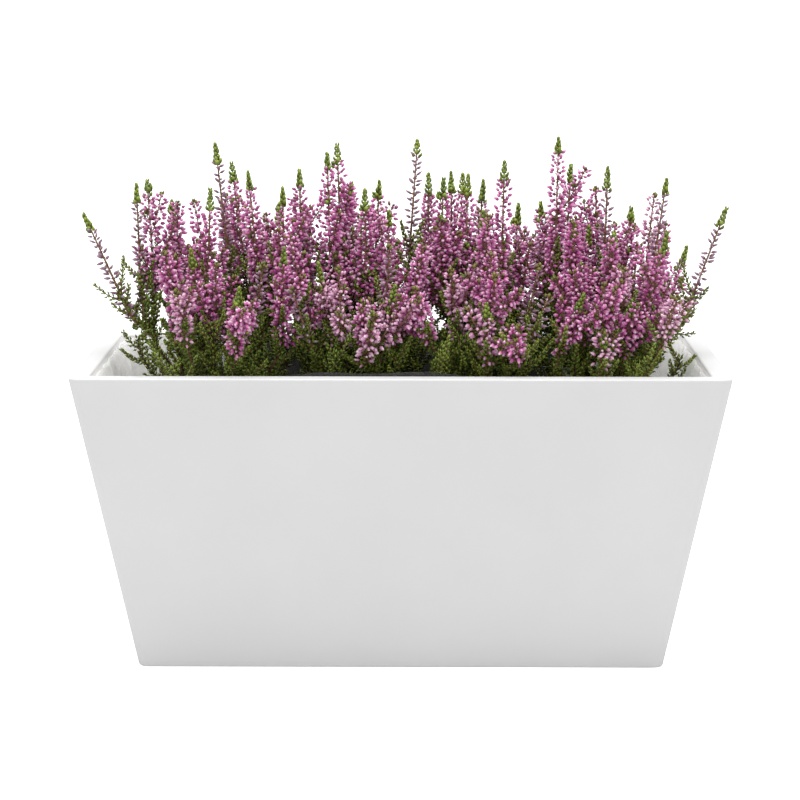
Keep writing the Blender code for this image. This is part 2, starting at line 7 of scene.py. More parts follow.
import bpy
import numpy as np
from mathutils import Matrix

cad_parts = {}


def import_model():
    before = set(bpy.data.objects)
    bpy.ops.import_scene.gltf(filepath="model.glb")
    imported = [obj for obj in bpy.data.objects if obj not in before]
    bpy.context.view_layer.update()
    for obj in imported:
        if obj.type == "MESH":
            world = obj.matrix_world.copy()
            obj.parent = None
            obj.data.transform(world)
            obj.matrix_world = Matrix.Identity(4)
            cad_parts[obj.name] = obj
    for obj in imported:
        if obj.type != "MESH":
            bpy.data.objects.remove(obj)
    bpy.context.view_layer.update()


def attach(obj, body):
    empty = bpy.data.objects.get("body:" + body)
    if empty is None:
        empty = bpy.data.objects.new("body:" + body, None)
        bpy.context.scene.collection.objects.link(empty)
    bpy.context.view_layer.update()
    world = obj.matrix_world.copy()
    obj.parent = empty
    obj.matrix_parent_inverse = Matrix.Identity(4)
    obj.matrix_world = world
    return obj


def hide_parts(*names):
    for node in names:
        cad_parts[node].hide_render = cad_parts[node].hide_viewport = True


MM = 0.001
GOLDEN = math.radians(137.508)
UPRIGHT = np.array([0.0, 0.0, 1.0])

# Planter
PLANTER_LENGTH = 400.0
PLANTER_DEPTH = 180.0
PLANTER_HEIGHT = 190.0
PLANTER_TAPER = 35.0
PLANTER_WALL = 12.0
PLANTER_CORNER = 6.0
PLANTER_EDGE = 1.2
PLANTER_CREASE = 35.0
CORNER_SHRINK = 0.3
CORNER_LEAST = 1.0
CORNER_STEPS = 8
EDGE_POINTS = 5
OUTSIDE_ROWS = 11
INSIDE_ROWS = 9
FIT_GAP = 0.35

# Film liner and growing medium
FILM = 0.8
SOIL_TOP = 153.0
SOIL_BUMP = 1.2
PEAT_WAVES = ((9.0, 2.0), (-4.0, 5.0))
PEAT_GRID = (120, 50)
PEAT_GRIT = 0.55
PEAT_DROP = 0.6
PEAT_SLACK = 0.2
PEAT_LEVEL_FROM = (0.985, 0.97)

# Plants
CROWNS = ((-116.0, -3.0), (-26.0, 4.0), (52.0, -4.0), (134.0, 3.0))
CROWN_RADIUS = 5.5
CROWN_FOOT = 118.0
CROWN_TOP = 161.0
ROOT_HEIGHT = 158.5
ROOT_RING = 2.5
SEAT_GAP = 0.3
SEED = 11

# Trunks: rings, flutes round each and how far they drift with height
TRUNK_SIDES = 20
TRUNK_ROWS = 14
TRUNK_FLUTES = 5
TRUNK_FLUTE_DEPTH = 0.10
TRUNK_DRIFT = 0.05
TRUNK_TOP_SHARE = 0.9

# Stems: points along each path, and radii in millimetres
STALK_POINTS = 6
SPIKE_POINTS = 8
WOOD_RADIUS = 1.3
LEAFY_RADIUS = 3.1
STALK_RADIUS = 1.0
SPIKE_REACH = 6.6
FOOT_REACH = 4.6
STEM_SLACK = 0.2
BARE_POINTS = 2
SHOOT_BARE_POINTS = 3
TIP_LENGTH = 14.0
SEAT_POINT = 3
FORK_SHARES = (0.15, 0.6)
SPIKE_NODES = 53
SPRAY_MOST = 3

# How far stems lean out of a crown or a fork, as shares of their length
ROOT_LIFT = 0.55
ROOT_SPREAD = 0.9
FORK_SPREAD = 0.6
SHOOT_SPREAD = 1.1

# Spikes placed one by one from the photo: kind, foot and tip
PLACED = (
    ("thin", (-170, 0, 213), (-200, 0, 281)),
    ("thin", (-165, 6, 224), (-167, 10, 298)),
    ("full", (-159, 12, 232), (-163, 16, 301)),
    ("full", (-142, 16, 223), (-147, 22, 287)),
    ("full", (-125, -24, 208), (-130, -30, 262)),
    ("full", (-123, -8, 212), (-119, -8, 297)),
    ("thin", (-107, 10, 220), (-118, 16, 323)),
    ("full", (-99, 22, 228), (-109, 30, 310)),
    ("full", (-88, 3, 222), (-96, 6, 307)),
    ("full", (-77, 13, 218), (-80, 20, 283)),
    ("full", (-73, -2, 222), (-74, 0, 298)),
    ("full", (-64, 17, 228), (-66, 24, 306)),
    ("full", (-45, 3, 228), (-47, 7, 319)),
    ("full", (-37, 13, 234), (-40, 17, 323)),
    ("pale", (-34, 26, 228), (-32, 34, 297)),
    ("full", (-22, -3, 224), (-23, 0, 296)),
    ("full", (-18, 16, 228), (-14, 26, 300)),
    ("full", (-10, -9, 222), (-8, -10, 284)),
    ("thin", (5, 12, 240), (11, 20, 326)),
    ("full", (17, 26, 228), (17, 36, 303)),
    ("full", (23, -1, 224), (26, 4, 303)),
    ("full", (32, 12, 228), (31, 22, 305)),
    ("full", (37, 26, 228), (40, 36, 303)),
    ("full", (42, 5, 224), (44, 10, 304)),
    ("pale", (47, 18, 222), (52, 28, 299)),
    ("full", (52, -15, 218), (51, -17, 284)),
    ("full", (62, 2, 224), (64, 6, 314)),
    ("full", (71, 17, 223), (75, 26, 284)),
    ("pale", (94, 15, 222), (89, 24, 286)),
    ("full", (97, 4, 230), (99, 12, 328)),
    ("full", (105, 20, 228), (109, 32, 309)),
    ("full", (106, -13, 218), (109, -15, 276)),
    ("full", (116, 10, 217), (119, 20, 270)),
    ("thin", (127, 4, 224), (129, 10, 309)),
    ("full", (129, -12, 217), (133, -14, 271)),
    ("full", (140, 7, 218), (147, 11, 284)),
    ("thin", (155, 5, 212), (168, 14, 302)),
    ("full", (158, -11, 212), (166, -15, 271)),
    ("thin", (170, 14, 215), (183, 24, 258)),
    ("thin", (178, -2, 211), (205, 3, 284)),
    ("full", (-100, -51, 201), (-96, -60, 243)),
    ("pale", (-43, -32, 203), (-50, -42, 255)),
    ("full", (-73, -36, 207), (-70, -44, 265)),
    ("pale", (-10, -48, 203), (-2, -56, 243)),
    ("pale", (-22, -56, 196), (-17, -66, 228)),
    ("pale", (54, -52, 196), (53, -60, 234)),
    ("full", (72, -62, 199), (60, -68, 216)),
    ("full", (98, -48, 201), (112, -56, 237)),
    ("full", (138, -44, 200), (141, -52, 234)),
    ("pale", (122, -62, 194), (124, -67, 216)),
)

# Spikes placed by rule in rows: first and last x, count, foot y, tip y, tip height
ROWS = (
    (-130.0, 160.0, 9, -46.0, -60.0, 238.0),
    (-136.0, 158.0, 13, -30.0, -42.0, 262.0),
    (-128.0, 150.0, 9, 4.0, 8.0, 270.0),
    (-140.0, 164.0, 9, 30.0, 46.0, 284.0),
    (-146.0, 166.0, 12, 44.0, 66.0, 262.0),
)
FOOT_HEIGHT = 206.0
ROW_JITTER = 6.0
ROW_LEAN = 0.16
ROW_KINDS = ("full", "full", "full", "full", "pale", "thin")

# Leafy shoots round each crown, in rings: how far along x, how far along y, and tip height
SHOOTS = 6
SHOOT_RINGS = ((28.0, 42.0, 212.0), (46.0, 64.0, 199.0))
SHOOT_JITTER = 7.0

# Parting of the stems
ROUNDS = 140
CLEARANCE = 1.1
STEP_LIMIT = 2.0
HELD = 0.3
LEAST_SQUARE = 0.01
END_OWN = 0.6
END_NEXT = 0.4
WALL_MARGIN = 1.5
RIM_REACH = 7.0

# Curves: steps between two points of a stem, points of a side shoot, and length of tube between rings
SPAN_STEPS = 6
SPRIG_POINTS = 7
TUBE_STEP = 4.5
FIRST_SIDE = (1.0, 0.3, 0.0)

# Tubes: radii from start to end, sides, and how far they stop short of the tip
WOOD_RADII = (WOOD_RADIUS, 1.1, 0.9)
SHOOT_RADII = (WOOD_RADIUS, 0.9, 0.4)
STALK_RADII = (STALK_RADIUS, 0.75, 0.45)
SIDE_RADII = (0.55, 0.35)
TWIG_RADII = (0.5, 0.35)
WOOD_SIDES = 6
STALK_SIDES = 5
TWIG_SIDES = 3
SHOOT_STOP = 3.0
STALK_STOP = 2.0
TWIG_STOP = 1.5

# Scale leaves and buds: rings as shares of length and width
LEAF_KEEL = 0.42
LEAF_HOOK = 0.22
LEAF_FACE = 0.12
LEAF_RINGS = ((0.22, 1.0), (0.68, 0.86))
TWIG_RINGS = ((0.42, 1.0),)
BUD_RINGS = ((0.12, 0.7), (0.40, 1.0), (0.76, 0.66))
BUD_SIDES = 5

# Buds: how each kind of spike bears them, in millimetres and degrees
HABITS = {
    "full": {"pitch": 0.72, "length": 4.3, "width": 2.65, "out": 3.5, "rise": (-16.0, 38.0), "wobble": 0.5},
    "pale": {"pitch": 0.85, "length": 4.3, "width": 2.6, "out": 3.5, "rise": (-18.0, 36.0), "wobble": 0.6},
    "thin": {"pitch": 1.35, "length": 5.6, "width": 2.3, "out": 1.3, "rise": (4.0, 34.0), "wobble": 0.4},
}
RISE_WOBBLE = 13.0
BUD_SHRINK = 0.24
BUD_FIRST = 0.8
BUD_SWELL = 0.2
BUD_SWELL_OVER = 0.2
BUD_OUT_SPREAD = (0.6, 1.1)
BUD_SIZE_SPREAD = (0.8, 1.1)
BUDS_BELOW_FOOT = 2.0
CONE_WIDTH = 0.7
CONE_DROP = 0.35
CONE_INTO_BUD = 0.25
CONE_TURN = 0.1

# Leaves: length, width, rise in degrees and distance from the axis, each at the first and at the last pair
LEAFY_LEAF = ((3.7, 3.3), (2.2, 2.0), (34.0, 50.0), (0.7, 0.5))
SPRIG_LEAF = ((3.6, 2.6), (2.3, 1.9), (34.0, 70.0), (0.6, 0.3))
BRACT_LEAF = ((2.4, 2.0), (1.2, 1.0), (46.0, 56.0), (0.4, 0.3))
TIP_LEAF = ((3.6, 2.6), (3.2, 2.2), (48.0, 76.0), (1.1, 0.35))
LEAFY_PITCH = 1.8
SPRIG_PITCH = 1.7
BRACT_PITCH = 4.6
TIP_PITCH = 1.5
LEAF_WOBBLE = 0.12
LEAF_RISE_WOBBLE = 6.0
LEAF_SPREAD = (0.85, 1.15)
LEAF_MARGIN = 1.0
LEAFY_FROM = 171.0
LEAFY_LEAST = 4.0
UNDER_SHARE = 0.32

# Leafy tips of spikes: their length as a share of TIP_LENGTH where the spike was listed one by one, and
# elsewhere
TIP_SHARES = {True: (0.75, 1.05), False: (0.1, 0.35)}
TIP_STOP = 1.8

# Tufts: green shoots along a spike, and round its tip
TUFTS = {"full": 1, "pale": 1, "thin": 0}
TUFT_LENGTH = (5.5, 8.5)
TUFT_PLACES = (0.1, 0.85)
TUFT_BARE = 0.4
TIP_TUFTS = 1
TIP_TUFT_PLACES = (1.0, 7.0)
TIP_RISE = 74.0

# Sprigs: side shoots of the leafy stems
SPRIG_LENGTH = (9.0, 19.0)
SPRIG_GAP = 4.5
SPRIG_RISE = 36.0
SPRIG_LIFT = 0.5
SPRIG_OUT = 0.3
SPRIG_WOBBLE = 0.6
SPRIG_FROM = 2.0
SPRIG_BARE = 1.2

# Gaps between plants, filled with more sprigs: places along x, half width and height above the seat
GAPS = (-65.0, 22.0)
GAP_HALF = 13.0
GAP_RISE = 6.0

# Flowering side branches of a spike
SIDE_COUNT = {"full": 3, "pale": 2, "thin": 0}
PLACED_SIDES = 1
SIDE_LENGTH = (18.0, 36.0)
SIDE_MOST = 0.85
SIDE_PLACES = (-0.1, 0.6)
SIDE_RISE = 58.0
SIDE_LIFT = 0.25
SIDE_BARE = 2.5
SIDE_TIP = 2.4
SIDE_TIP_SPREAD = (0.8, 1.2)
ANY_TURN = 3.0

# Film: how it is gathered above the peat, in millimetres
FILM_POINTS = 340
FILM_ROWS = 12
FILM_CORNER = 14.0
FILM_CORNER_STEPS = 6
FILM_CREASE = 80.0
FILM_THICK = 0.25
FILM_EDGE_DROP = 2.0
FILM_EDGE_LIFT = 5.5
FILM_STAND_OFF = 3.0
FILM_FOLD = 3.0
MIDDLE_STAND_OFF = 0.3
MIDDLE_FOLD = 0.8

# Film edge: share, turns and phase of its slow wave, share and turns of its quick one, and where they fade
EDGE_WAVES = ((0.3, 7.0, 0.6), (0.2, 17.0))
EDGE_MIDDLE = 1.3
EDGE_FALL = 1.6

# Film folds: distance round the film, then share, turns and drift with height of each wave
FOLD_RUN = 1060.0
FOLD_WAVES = ((1.0, 0.11, 0.9), (0.4, 0.23, -1.7))
FILM_END_FROM = 0.80
FILM_END_SPAN = 0.12
BELLY = 1.6
BELLY_POWER = 0.7
BELLY_TOP = 1.2

# Film paint: how much of it shows, and distances in metres from the middle where it turns milky, or dark with
# painted shade
FILM_CLEAR = 0.06
FILM_MILKY = 0.46
FILM_SHADE_COVER = 0.75
FILM_ENDS = (0.145, 0.172)
FILM_SHADE_SPAN = (0.105, 0.135)
# Strength of the film's own faint glow: painted light, as the film is no lamp
FILM_PAINTED_GLOW = 0.15
FILM_ROUGHNESS = 0.25
FILM_GRAIN = 60.0
FILM_STREAK_FROM = (0.3, 0.7)
FILM_STREAK_TO = (0.6, 1.3)
FILM_TINT = (0.95, 0.95, 0.945)
# Dark tint of the film's middle: painted shade
FILM_SHADE_TINT = (0.17, 0.17, 0.16)

# Plant surfaces: colours as seen on a screen, how far hue and light differ from form to form, and roughness
# Each form runs from a dark foot, partly painted shade, to a pale end, partly a painted highlight
LEAF_FOOT_AND_SHADE = (0.12, 0.17, 0.05)
GROWN = {
    "full": {"name": "pink_bud", "spread": 0.9, "light_spread": 0.5, "roughness": 0.4,
             "colours": {"Foot": (0.37, 0.08, 0.26), "Body": (0.85, 0.49, 0.71),
                         "End": (1.0, 0.95, 0.98), "Other": (0.66, 0.22, 0.52)}},
    "pale": {"name": "pale_bud", "spread": 0.6, "light_spread": 0.35, "roughness": 0.42,
             "colours": {"Foot": (0.50, 0.24, 0.36), "Body": (0.85, 0.65, 0.76),
                         "End": (1.0, 0.92, 0.95), "Other": (0.76, 0.44, 0.64)}},
    "thin": {"name": "mauve_bud", "spread": 0.7, "light_spread": 0.4, "roughness": 0.5,
             "colours": {"Foot": (0.36, 0.24, 0.27), "Body": (0.61, 0.48, 0.56),
                         "End": (0.80, 0.73, 0.77), "Other": (0.52, 0.36, 0.43)}},
    "leaf": {"name": "scale_leaf", "spread": 0.7, "light_spread": 0.5, "roughness": 0.5,
             "colours": {"Foot": LEAF_FOOT_AND_SHADE, "Body": (0.33, 0.43, 0.12),
                         "End": (0.50, 0.60, 0.24), "Other": (0.52, 0.56, 0.15)}},
    "bract": {"name": "bract", "spread": 0.7, "light_spread": 0.4, "roughness": 0.55,
              "colours": {"Foot": LEAF_FOOT_AND_SHADE, "Body": (0.36, 0.37, 0.13),
                          "End": (0.47, 0.51, 0.19), "Other": (0.46, 0.38, 0.18)}},
}
# Shares of a form's length where its foot, partly painted shade, turns into the body, and where the body
# turns into its end, partly a painted highlight
BODY_FROM = 0.4
END_FROM = 0.5

# Mottled surfaces: colours as seen on a screen, grains in a metre, strength of the relief, and roughness
MOTTLED = {
    "wood": {"name": "heather_wood", "dark": (0.20, 0.14, 0.10), "light": (0.42, 0.31, 0.23),
             "grain": 900.0, "relief": 0.8, "roughness": 0.85},
    "stalk": {"name": "green_wood", "dark": (0.38, 0.22, 0.19), "light": (0.60, 0.46, 0.36),
              "grain": 500.0, "relief": 0.5, "roughness": 0.7},
    "trough": {"name": "white_satin", "dark": (0.825, 0.825, 0.825), "light": (0.835, 0.835, 0.835),
               "grain": 12.0, "relief": 0.05, "roughness": 0.42},
    # The inside is the same white painted lighter: painted light on the shaded inside
    "inside": {"name": "white_inside_painted_light", "dark": (0.95, 0.95, 0.945), "light": (0.975, 0.975, 0.97),
               "grain": 12.0, "relief": 0.05, "roughness": 0.42},
    "peat": {"name": "peat", "dark": (0.07, 0.05, 0.04), "light": (0.24, 0.18, 0.13),
             "grain": 600.0, "relief": 1.0, "roughness": 0.95},
}
NOISE_DETAIL = 5.0
DARK_TO = 0.35
LIGHT_FROM = 0.65
RELIEF_DEPTH = 0.0005

# Camera and light
CAMERA_PLACE = (0.0125, -1.4683, 0.4378)
CAMERA_PITCH = 10.69
CAMERA_YAW = 0.52
CAMERA_LENS = 105.3
ROOM_LEVEL = 1.34
ROOM_OVERHEAD = 0.72
OVERHEAD_PLACE = (0.0, 0.03, 1.35)
OVERHEAD_SIZE = 1.0
OVERHEAD_POWER = 13.5
FLOOR_WHITE = (0.90, 0.90, 0.90)
FLOOR_ROUGHNESS = 0.6
FLOOR_GLOW = 0.7
FLOOR_GLOW_SEEN = 1.2
FLOOR_GLOW_CAST = 0.02
FLOOR_SIDE = 12.0

# Sockets of the node that mixes two colours: both colours and its result
MIX_FIRST = 6
MIX_SECOND = 7
MIX_RESULT = 2

# The whole span of a share
WHOLE = (0.0, 1.0)


def unit(vectors):
    """Each row divided by its length."""
    return vectors / np.maximum(np.linalg.norm(vectors, axis=-1, keepdims=True), 1e-9)


def between(pair, share):
    """A size that runs from its first value at share 0 to its second at share 1."""
    return pair[0] + (pair[1] - pair[0]) * share


def hermite(start, end, start_pull, end_pull, count):
    """Points of the cubic that leaves start along start_pull and meets end along end_pull."""
    t = np.linspace(0.0, 1.0, count)[:, None]
    return ((2 * t**3 - 3 * t**2 + 1) * start + (t**3 - 2 * t**2 + t) * start_pull
            + (3 * t**2 - 2 * t**3) * end + (t**3 - t**2) * end_pull)


def row_spikes(draw):
    """Spikes in rows along the planter, each leaning outwards, with a seeded jitter."""
    spikes = []
    for first, last, count, foot_y, tip_y, height in ROWS:
        for x in np.linspace(first, last, count):
            dx, dy, dz = draw.uniform(-ROW_JITTER, ROW_JITTER, 3)
            centre = min(CROWNS, key=lambda crown: abs(crown[0] - x))[0]
            lean = ROW_LEAN * (x - centre)
            foot = (x + dx - lean, foot_y + 0.5 * dy, FOOT_HEIGHT + 0.5 * dz)
            tip = (x + dx + lean, tip_y + 0.5 * dy, height + 2.0 * dz)
            spikes.append((str(draw.choice(ROW_KINDS)), foot, tip))
    return spikes


def leafy_shoots(draw):
    """Tips of the short green shoots, on two ellipses round each crown."""
    shoots = []
    for plant, (x, y) in enumerate(CROWNS):
        for along, deep, height in SHOOT_RINGS:
            for angle in np.arange(SHOOTS) * math.tau / SHOOTS + draw.uniform(0, 1):
                dx, dy, dz = draw.uniform(-SHOOT_JITTER, SHOOT_JITTER, 3)
                tip = (x + along * math.cos(angle) + dx, y + deep * math.sin(angle) + 0.5 * dy, height + dz)
                shoots.append((plant, tip))
    return shoots


def nearest_crown(point):
    """Index of the crown whose x is closest to a point's."""
    return min(range(len(CROWNS)), key=lambda i: abs(CROWNS[i][0] - point[0]))


def root_of(plant, target):
    """Start of a stem on its crown, on the side that faces the target."""
    centre = np.array([*CROWNS[plant], ROOT_HEIGHT])
    side = unit(np.array([target[0] - centre[0], target[1] - centre[1], 0.0]))
    return centre + ROOT_RING * side, side


def group_spikes(spikes, plants):
    """Sprays of one to three spikes: the closest feet on one plant join first, until SPIKE_NODES are left."""
    feet = np.array([foot for _, foot, _ in spikes], float)
    gaps = np.linalg.norm(feet[:, None] - feet[None], axis=2)
    order = [(gaps[i, j], i, j) for i in range(len(spikes)) for j in range(i + 1, len(spikes))
             if plants[i] == plants[j]]
    sprays = {i: [i] for i in range(len(spikes))}
    for _, i, j in sorted(order):
        if len(sprays) <= SPIKE_NODES:
            break
        if i in sprays and j in sprays and len(sprays[i]) + len(sprays[j]) <= SPRAY_MOST:
            keeper, joiner = (i, j) if len(sprays[i]) >= len(sprays[j]) else (j, i)
            sprays[keeper] += sprays.pop(joiner)
    return list(sprays.values())


def fork_point(path, share):
    """Where a side stem leaves the stalk of its main stem, a share of the way to the next point."""
    return path[SEAT_POINT] + share * (path[SEAT_POINT + 1] - path[SEAT_POINT])


def stem_path(root, side, foot, tip, spread):
    """A stem from its root, out and up to the foot of its spike, then along the spike."""
    rise = np.linalg.norm(foot - root)
    along = unit(tip - foot) * rise
    lower = hermite(root, foot, (spread * side + ROOT_LIFT * UPRIGHT) * rise, along, STALK_POINTS)
    t = np.linspace(0.0, 1.0, SPIKE_POINTS + 1)[1:, None]
    return np.vstack([lower, foot + t * (tip - foot)])


def inner_half(height):
    """Half length and half depth of the planter's inside at each height."""
    lean = PLANTER_TAPER * (1.0 - np.minimum(height / PLANTER_HEIGHT, 1.0))
    half_x = PLANTER_LENGTH / 2 - PLANTER_WALL - lean
    half_y = PLANTER_DEPTH / 2 - PLANTER_WALL - lean
    return np.stack([half_x, half_y], axis=-1)


def keep_inside(paths, radii):
    """Points lower than the rim stay clear of the walls and the film."""
    room = inner_half(paths[..., 2]) - (radii + FILM + WALL_MARGIN)[..., None]
    held = np.clip(paths[..., :2], -room, room)
    low = paths[..., 2:] < PLANTER_HEIGHT + RIM_REACH
    paths[..., :2] = np.where(low, held, paths[..., :2])


class Stems:
    """All stems as whole arrays: paths, radii, the node of each point, and what each stem hangs on."""

    def __init__(self, count):
        points = STALK_POINTS + SPIKE_POINTS
        self.paths = np.zeros((count, points, 3))
        self.radii = np.full((count, points), LEAFY_RADIUS)
        self.node = np.zeros((count, points), int)
        self.flower = np.zeros((count, points), bool)
        self.main = np.full(count, -1)
        self.share = np.zeros(count)
        self.hold = np.ones(count)

    def lay_main(self, i, spike, plant, node):
        """The main stem of a spray, from its crown to the tip of its spike."""
        _, foot, tip = spike
        root, side = root_of(plant, foot)
        self.paths[i] = stem_path(root, side, np.array(foot, float), np.array(tip, float), ROOT_SPREAD)
        self.node[i, :SEAT_POINT] = plant
        self.node[i, SEAT_POINT:] = node
        self.radii[i, :BARE_POINTS] = WOOD_RADIUS + STEM_SLACK

    def lay_twin(self, i, spike, main, share, node):
        """A side stem of a spray, from its fork on the main stem to the tip of its own spike."""
        _, foot, tip = spike
        fork = fork_point(self.paths[main], share)
        side = unit(self.paths[main][SEAT_POINT + 1] - fork)
        self.paths[i] = stem_path(fork, side, np.array(foot, float), np.array(tip, float), FORK_SPREAD)
        self.node[i] = node
        self.radii[i, :STALK_POINTS - 1] = STALK_RADIUS + STEM_SLACK
        self.main[i] = main
        self.share[i] = share

    def lay_shoot(self, i, plant, tip):
        """A short green shoot, from its crown outwards and up to its tip."""
        root, side = root_of(plant, tip)
        end = np.array(tip)
        pull = np.linalg.norm(end - root)
        self.paths[i] = hermite(root, end, SHOOT_SPREAD * pull * side, UPRIGHT * pull, self.paths.shape[1])
        self.node[i] = plant
        self.radii[i, :SHOOT_BARE_POINTS] = WOOD_RADIUS + STEM_SLACK

    def bear_spikes(self, count):
        """The first stems are as wide as their buds from the foot of the spike upwards."""
        foot = STALK_POINTS - 1
        self.radii[:count, foot] = FOOT_REACH
        self.radii[:count, foot + 1:-1] = SPIKE_REACH
        self.flower[:count, foot:] = True


def widths_apart(stems):
    """The gap that two points need: their radii and the clearance together, or none within one node."""
    count, points = stems.radii.shape
    stem = np.repeat(np.arange(count), points)
    home = stems.node.ravel()
    bloom = stems.flower.ravel()
    apart = (home[:, None] != home) | (bloom[:, None] & bloom & (stem[:, None] != stem))
    return (stems.radii.ravel()[:, None] + stems.radii.ravel() + CLEARANCE) * apart


def pushed(paths, need, hold):
    """Moves that take points which are too close half the missing way apart, sideways only."""
    flat = paths.reshape(-1, 3)
    square = (flat**2).sum(1)
    gap = np.sqrt(np.maximum(square[:, None] + square - 2.0 * flat @ flat.T, LEAST_SQUARE))
    push = np.clip(need - gap, 0.0, None) / gap
    shift = 0.5 * (push.sum(1)[:, None] * flat - push @ flat)
    shift = np.clip(shift, -STEP_LIMIT, STEP_LIMIT).reshape(paths.shape)
    shift[..., 0] *= hold[:, None]
    shift[..., 2] = 0.0
    return shift


def part_stems(stems):
    """Pushes stems of different nodes apart, then smooths each move along its stem.

    A smoothed move is half a point's own and a quarter of each neighbour's. Side stems follow their fork."""
    paths = stems.paths
    start = paths.copy()
    need = widths_apart(stems)
    twins = np.flatnonzero(stems.main >= 0)
    for _ in range(ROUNDS):
        move = paths + pushed(paths, need, stems.hold) - start
        move[:, 0] = 0.0
        for twin in twins:
            move[twin, 0] = fork_point(paths[stems.main[twin]], stems.share[twin]) - start[twin, 0]
        move[:, 1:-1] = 0.5 * move[:, 1:-1] + 0.25 * (move[:, 2:] + move[:, :-2])
        move[:, -1] = END_OWN * move[:, -1] + END_NEXT * move[:, -2]
        paths = start + move
        keep_inside(paths, stems.radii)
        paths = np.round(paths, 4)
    return paths


def plan_stems():
    """The whole planting: paths, each spike's kind and plant, the sprays, main stems and green shoots."""
    draw = np.random.default_rng(SEED)
    spikes = list(PLACED) + row_spikes(draw)
    shoots = leafy_shoots(draw)
    plants = [nearest_crown(foot) for _, foot, _ in spikes]
    sprays = group_spikes(spikes, plants)
    stems = Stems(len(spikes) + len(shoots))
    stems.hold[:len(PLACED)] = HELD
    for node, (i, *twins) in enumerate(sprays, start=len(CROWNS)):
        stems.lay_main(i, spikes[i], plants[i], node)
        for twin, share in zip(twins, FORK_SHARES):
            stems.lay_twin(twin, spikes[twin], i, share, node)
    for i, (plant, tip) in enumerate(shoots, start=len(spikes)):
        stems.lay_shoot(i, plant, tip)
    stems.bear_spikes(len(spikes))
    return {"paths": part_stems(stems), "kinds": [kind for kind, _, _ in spikes], "plants": plants,
            "sprays": sprays, "main": stems.main,
            "shoots": [(plant, i) for i, (plant, _) in enumerate(shoots, start=len(spikes))]}


class Route:
    """A smooth curve through a stem's points, read by distance from its start."""

    def __init__(self, points):
        before = np.vstack([2 * points[0] - points[1], points[:-1]])
        after = np.vstack([points[1:], 2 * points[-1] - points[-2]])
        pull = 0.5 * (after - before)
        spans = [hermite(points[k], points[k + 1], pull[k], pull[k + 1], SPAN_STEPS + 1)[:-1]
                 for k in range(len(points) - 1)]
        self.line = np.vstack(spans + [points[-1:]])
        steps = np.linalg.norm(np.diff(self.line, axis=0), axis=1)
        self.distance = np.concatenate([[0.0], np.cumsum(steps)])
        self.seat = self.distance[SPAN_STEPS * SEAT_POINT]
        self.foot = self.distance[SPAN_STEPS * (STALK_POINTS - 1)]
        self.length = self.distance[-1]

    def at(self, s):
        """Points at the distances s."""
        return np.stack([np.interp(s, self.distance, self.line[:, k]) for k in range(3)], axis=-1)

    def height(self, z):
        """Distance at which the stem first passes the height z."""
        return float(np.interp(z, np.maximum.accumulate(self.line[:, 2]), self.distance))

    def frames(self, s):
        """Points, two directions across the stem that turn as little as can be, and the one along it."""
        centre = self.at(s)
        along = unit(self.at(s + 0.5) - self.at(s - 0.5))
        across = np.zeros_like(along)
        last = np.array(FIRST_SIDE)
        for k, direction in enumerate(along):
            last = unit(last - np.dot(last, direction) * direction)
            across[k] = last
        return centre, across, np.cross(along, across), along


def pole_to_pole(rings, sides):
    """Triangles of a closed form made of rings between a lower and an upper pole."""
    j = np.arange(sides)
    k = (j + 1) % sides
    tris = [np.stack([np.zeros(sides, int), 1 + k, 1 + j], axis=-1)]
    for ring in range(rings - 1):
        low, high = 1 + ring * sides, 1 + (ring + 1) * sides
        tris.append(np.stack([low + j, low + k, high + k], axis=-1))
        tris.append(np.stack([low + j, high + k, high + j], axis=-1))
    last = 1 + (rings - 1) * sides
    tris.append(np.stack([last + j, last + k, np.full(sides, 1 + rings * sides)], axis=-1))
    return np.vstack(tris)


def leaf_form(shape):
    """A keeled scale leaf along +Z, one long and one wide: three-sided rings between two poles, at the given
    shares of its length and width.

    Its face towards the stem is flat, its keel stands off it, and it hooks inwards as the height squared."""
    rings = []
    for t, wide in shape:
        face = LEAF_FACE * wide
        ring = np.array([(-0.5 * wide, face, t), (0.0, -LEAF_KEEL * wide, t), (0.5 * wide, face, t)])
        ring[:, 1] += LEAF_HOOK * t**2
        rings.append(ring)
    verts = np.vstack([[(0.0, 0.0, 0.0)], *rings, [(0.0, LEAF_HOOK, 1.0)]])
    return verts, pole_to_pole(len(rings), 3)


def bud_form():
    """A flower bud along +Z, one long and one wide: five-sided rings, widest low down, run to a point."""
    turn = math.tau * np.arange(BUD_SIDES) / BUD_SIDES
    rings = []
    for t, wide in BUD_RINGS:
        level = np.full(BUD_SIDES, t)
        rings.append(np.stack([0.5 * wide * np.cos(turn), 0.5 * wide * np.sin(turn), level], axis=-1))
    verts = np.vstack([[(0.0, 0.0, 0.0)], *rings, [(0.0, 0.0, 1.0)]])
    return verts, pole_to_pole(len(rings), BUD_SIDES)


def cone_form():
    """A slim three-sided cone along +Z, one long and one wide, which carries a bud."""
    turn = math.tau * np.arange(3) / 3
    ring = np.stack([0.5 * np.cos(turn), 0.5 * np.sin(turn), np.zeros(3)], axis=-1)
    verts = np.vstack([ring, [(0.0, 0.0, 1.0)]])
    return verts, np.array([(0, 2, 1), (0, 1, 3), (1, 2, 3), (2, 0, 3)])


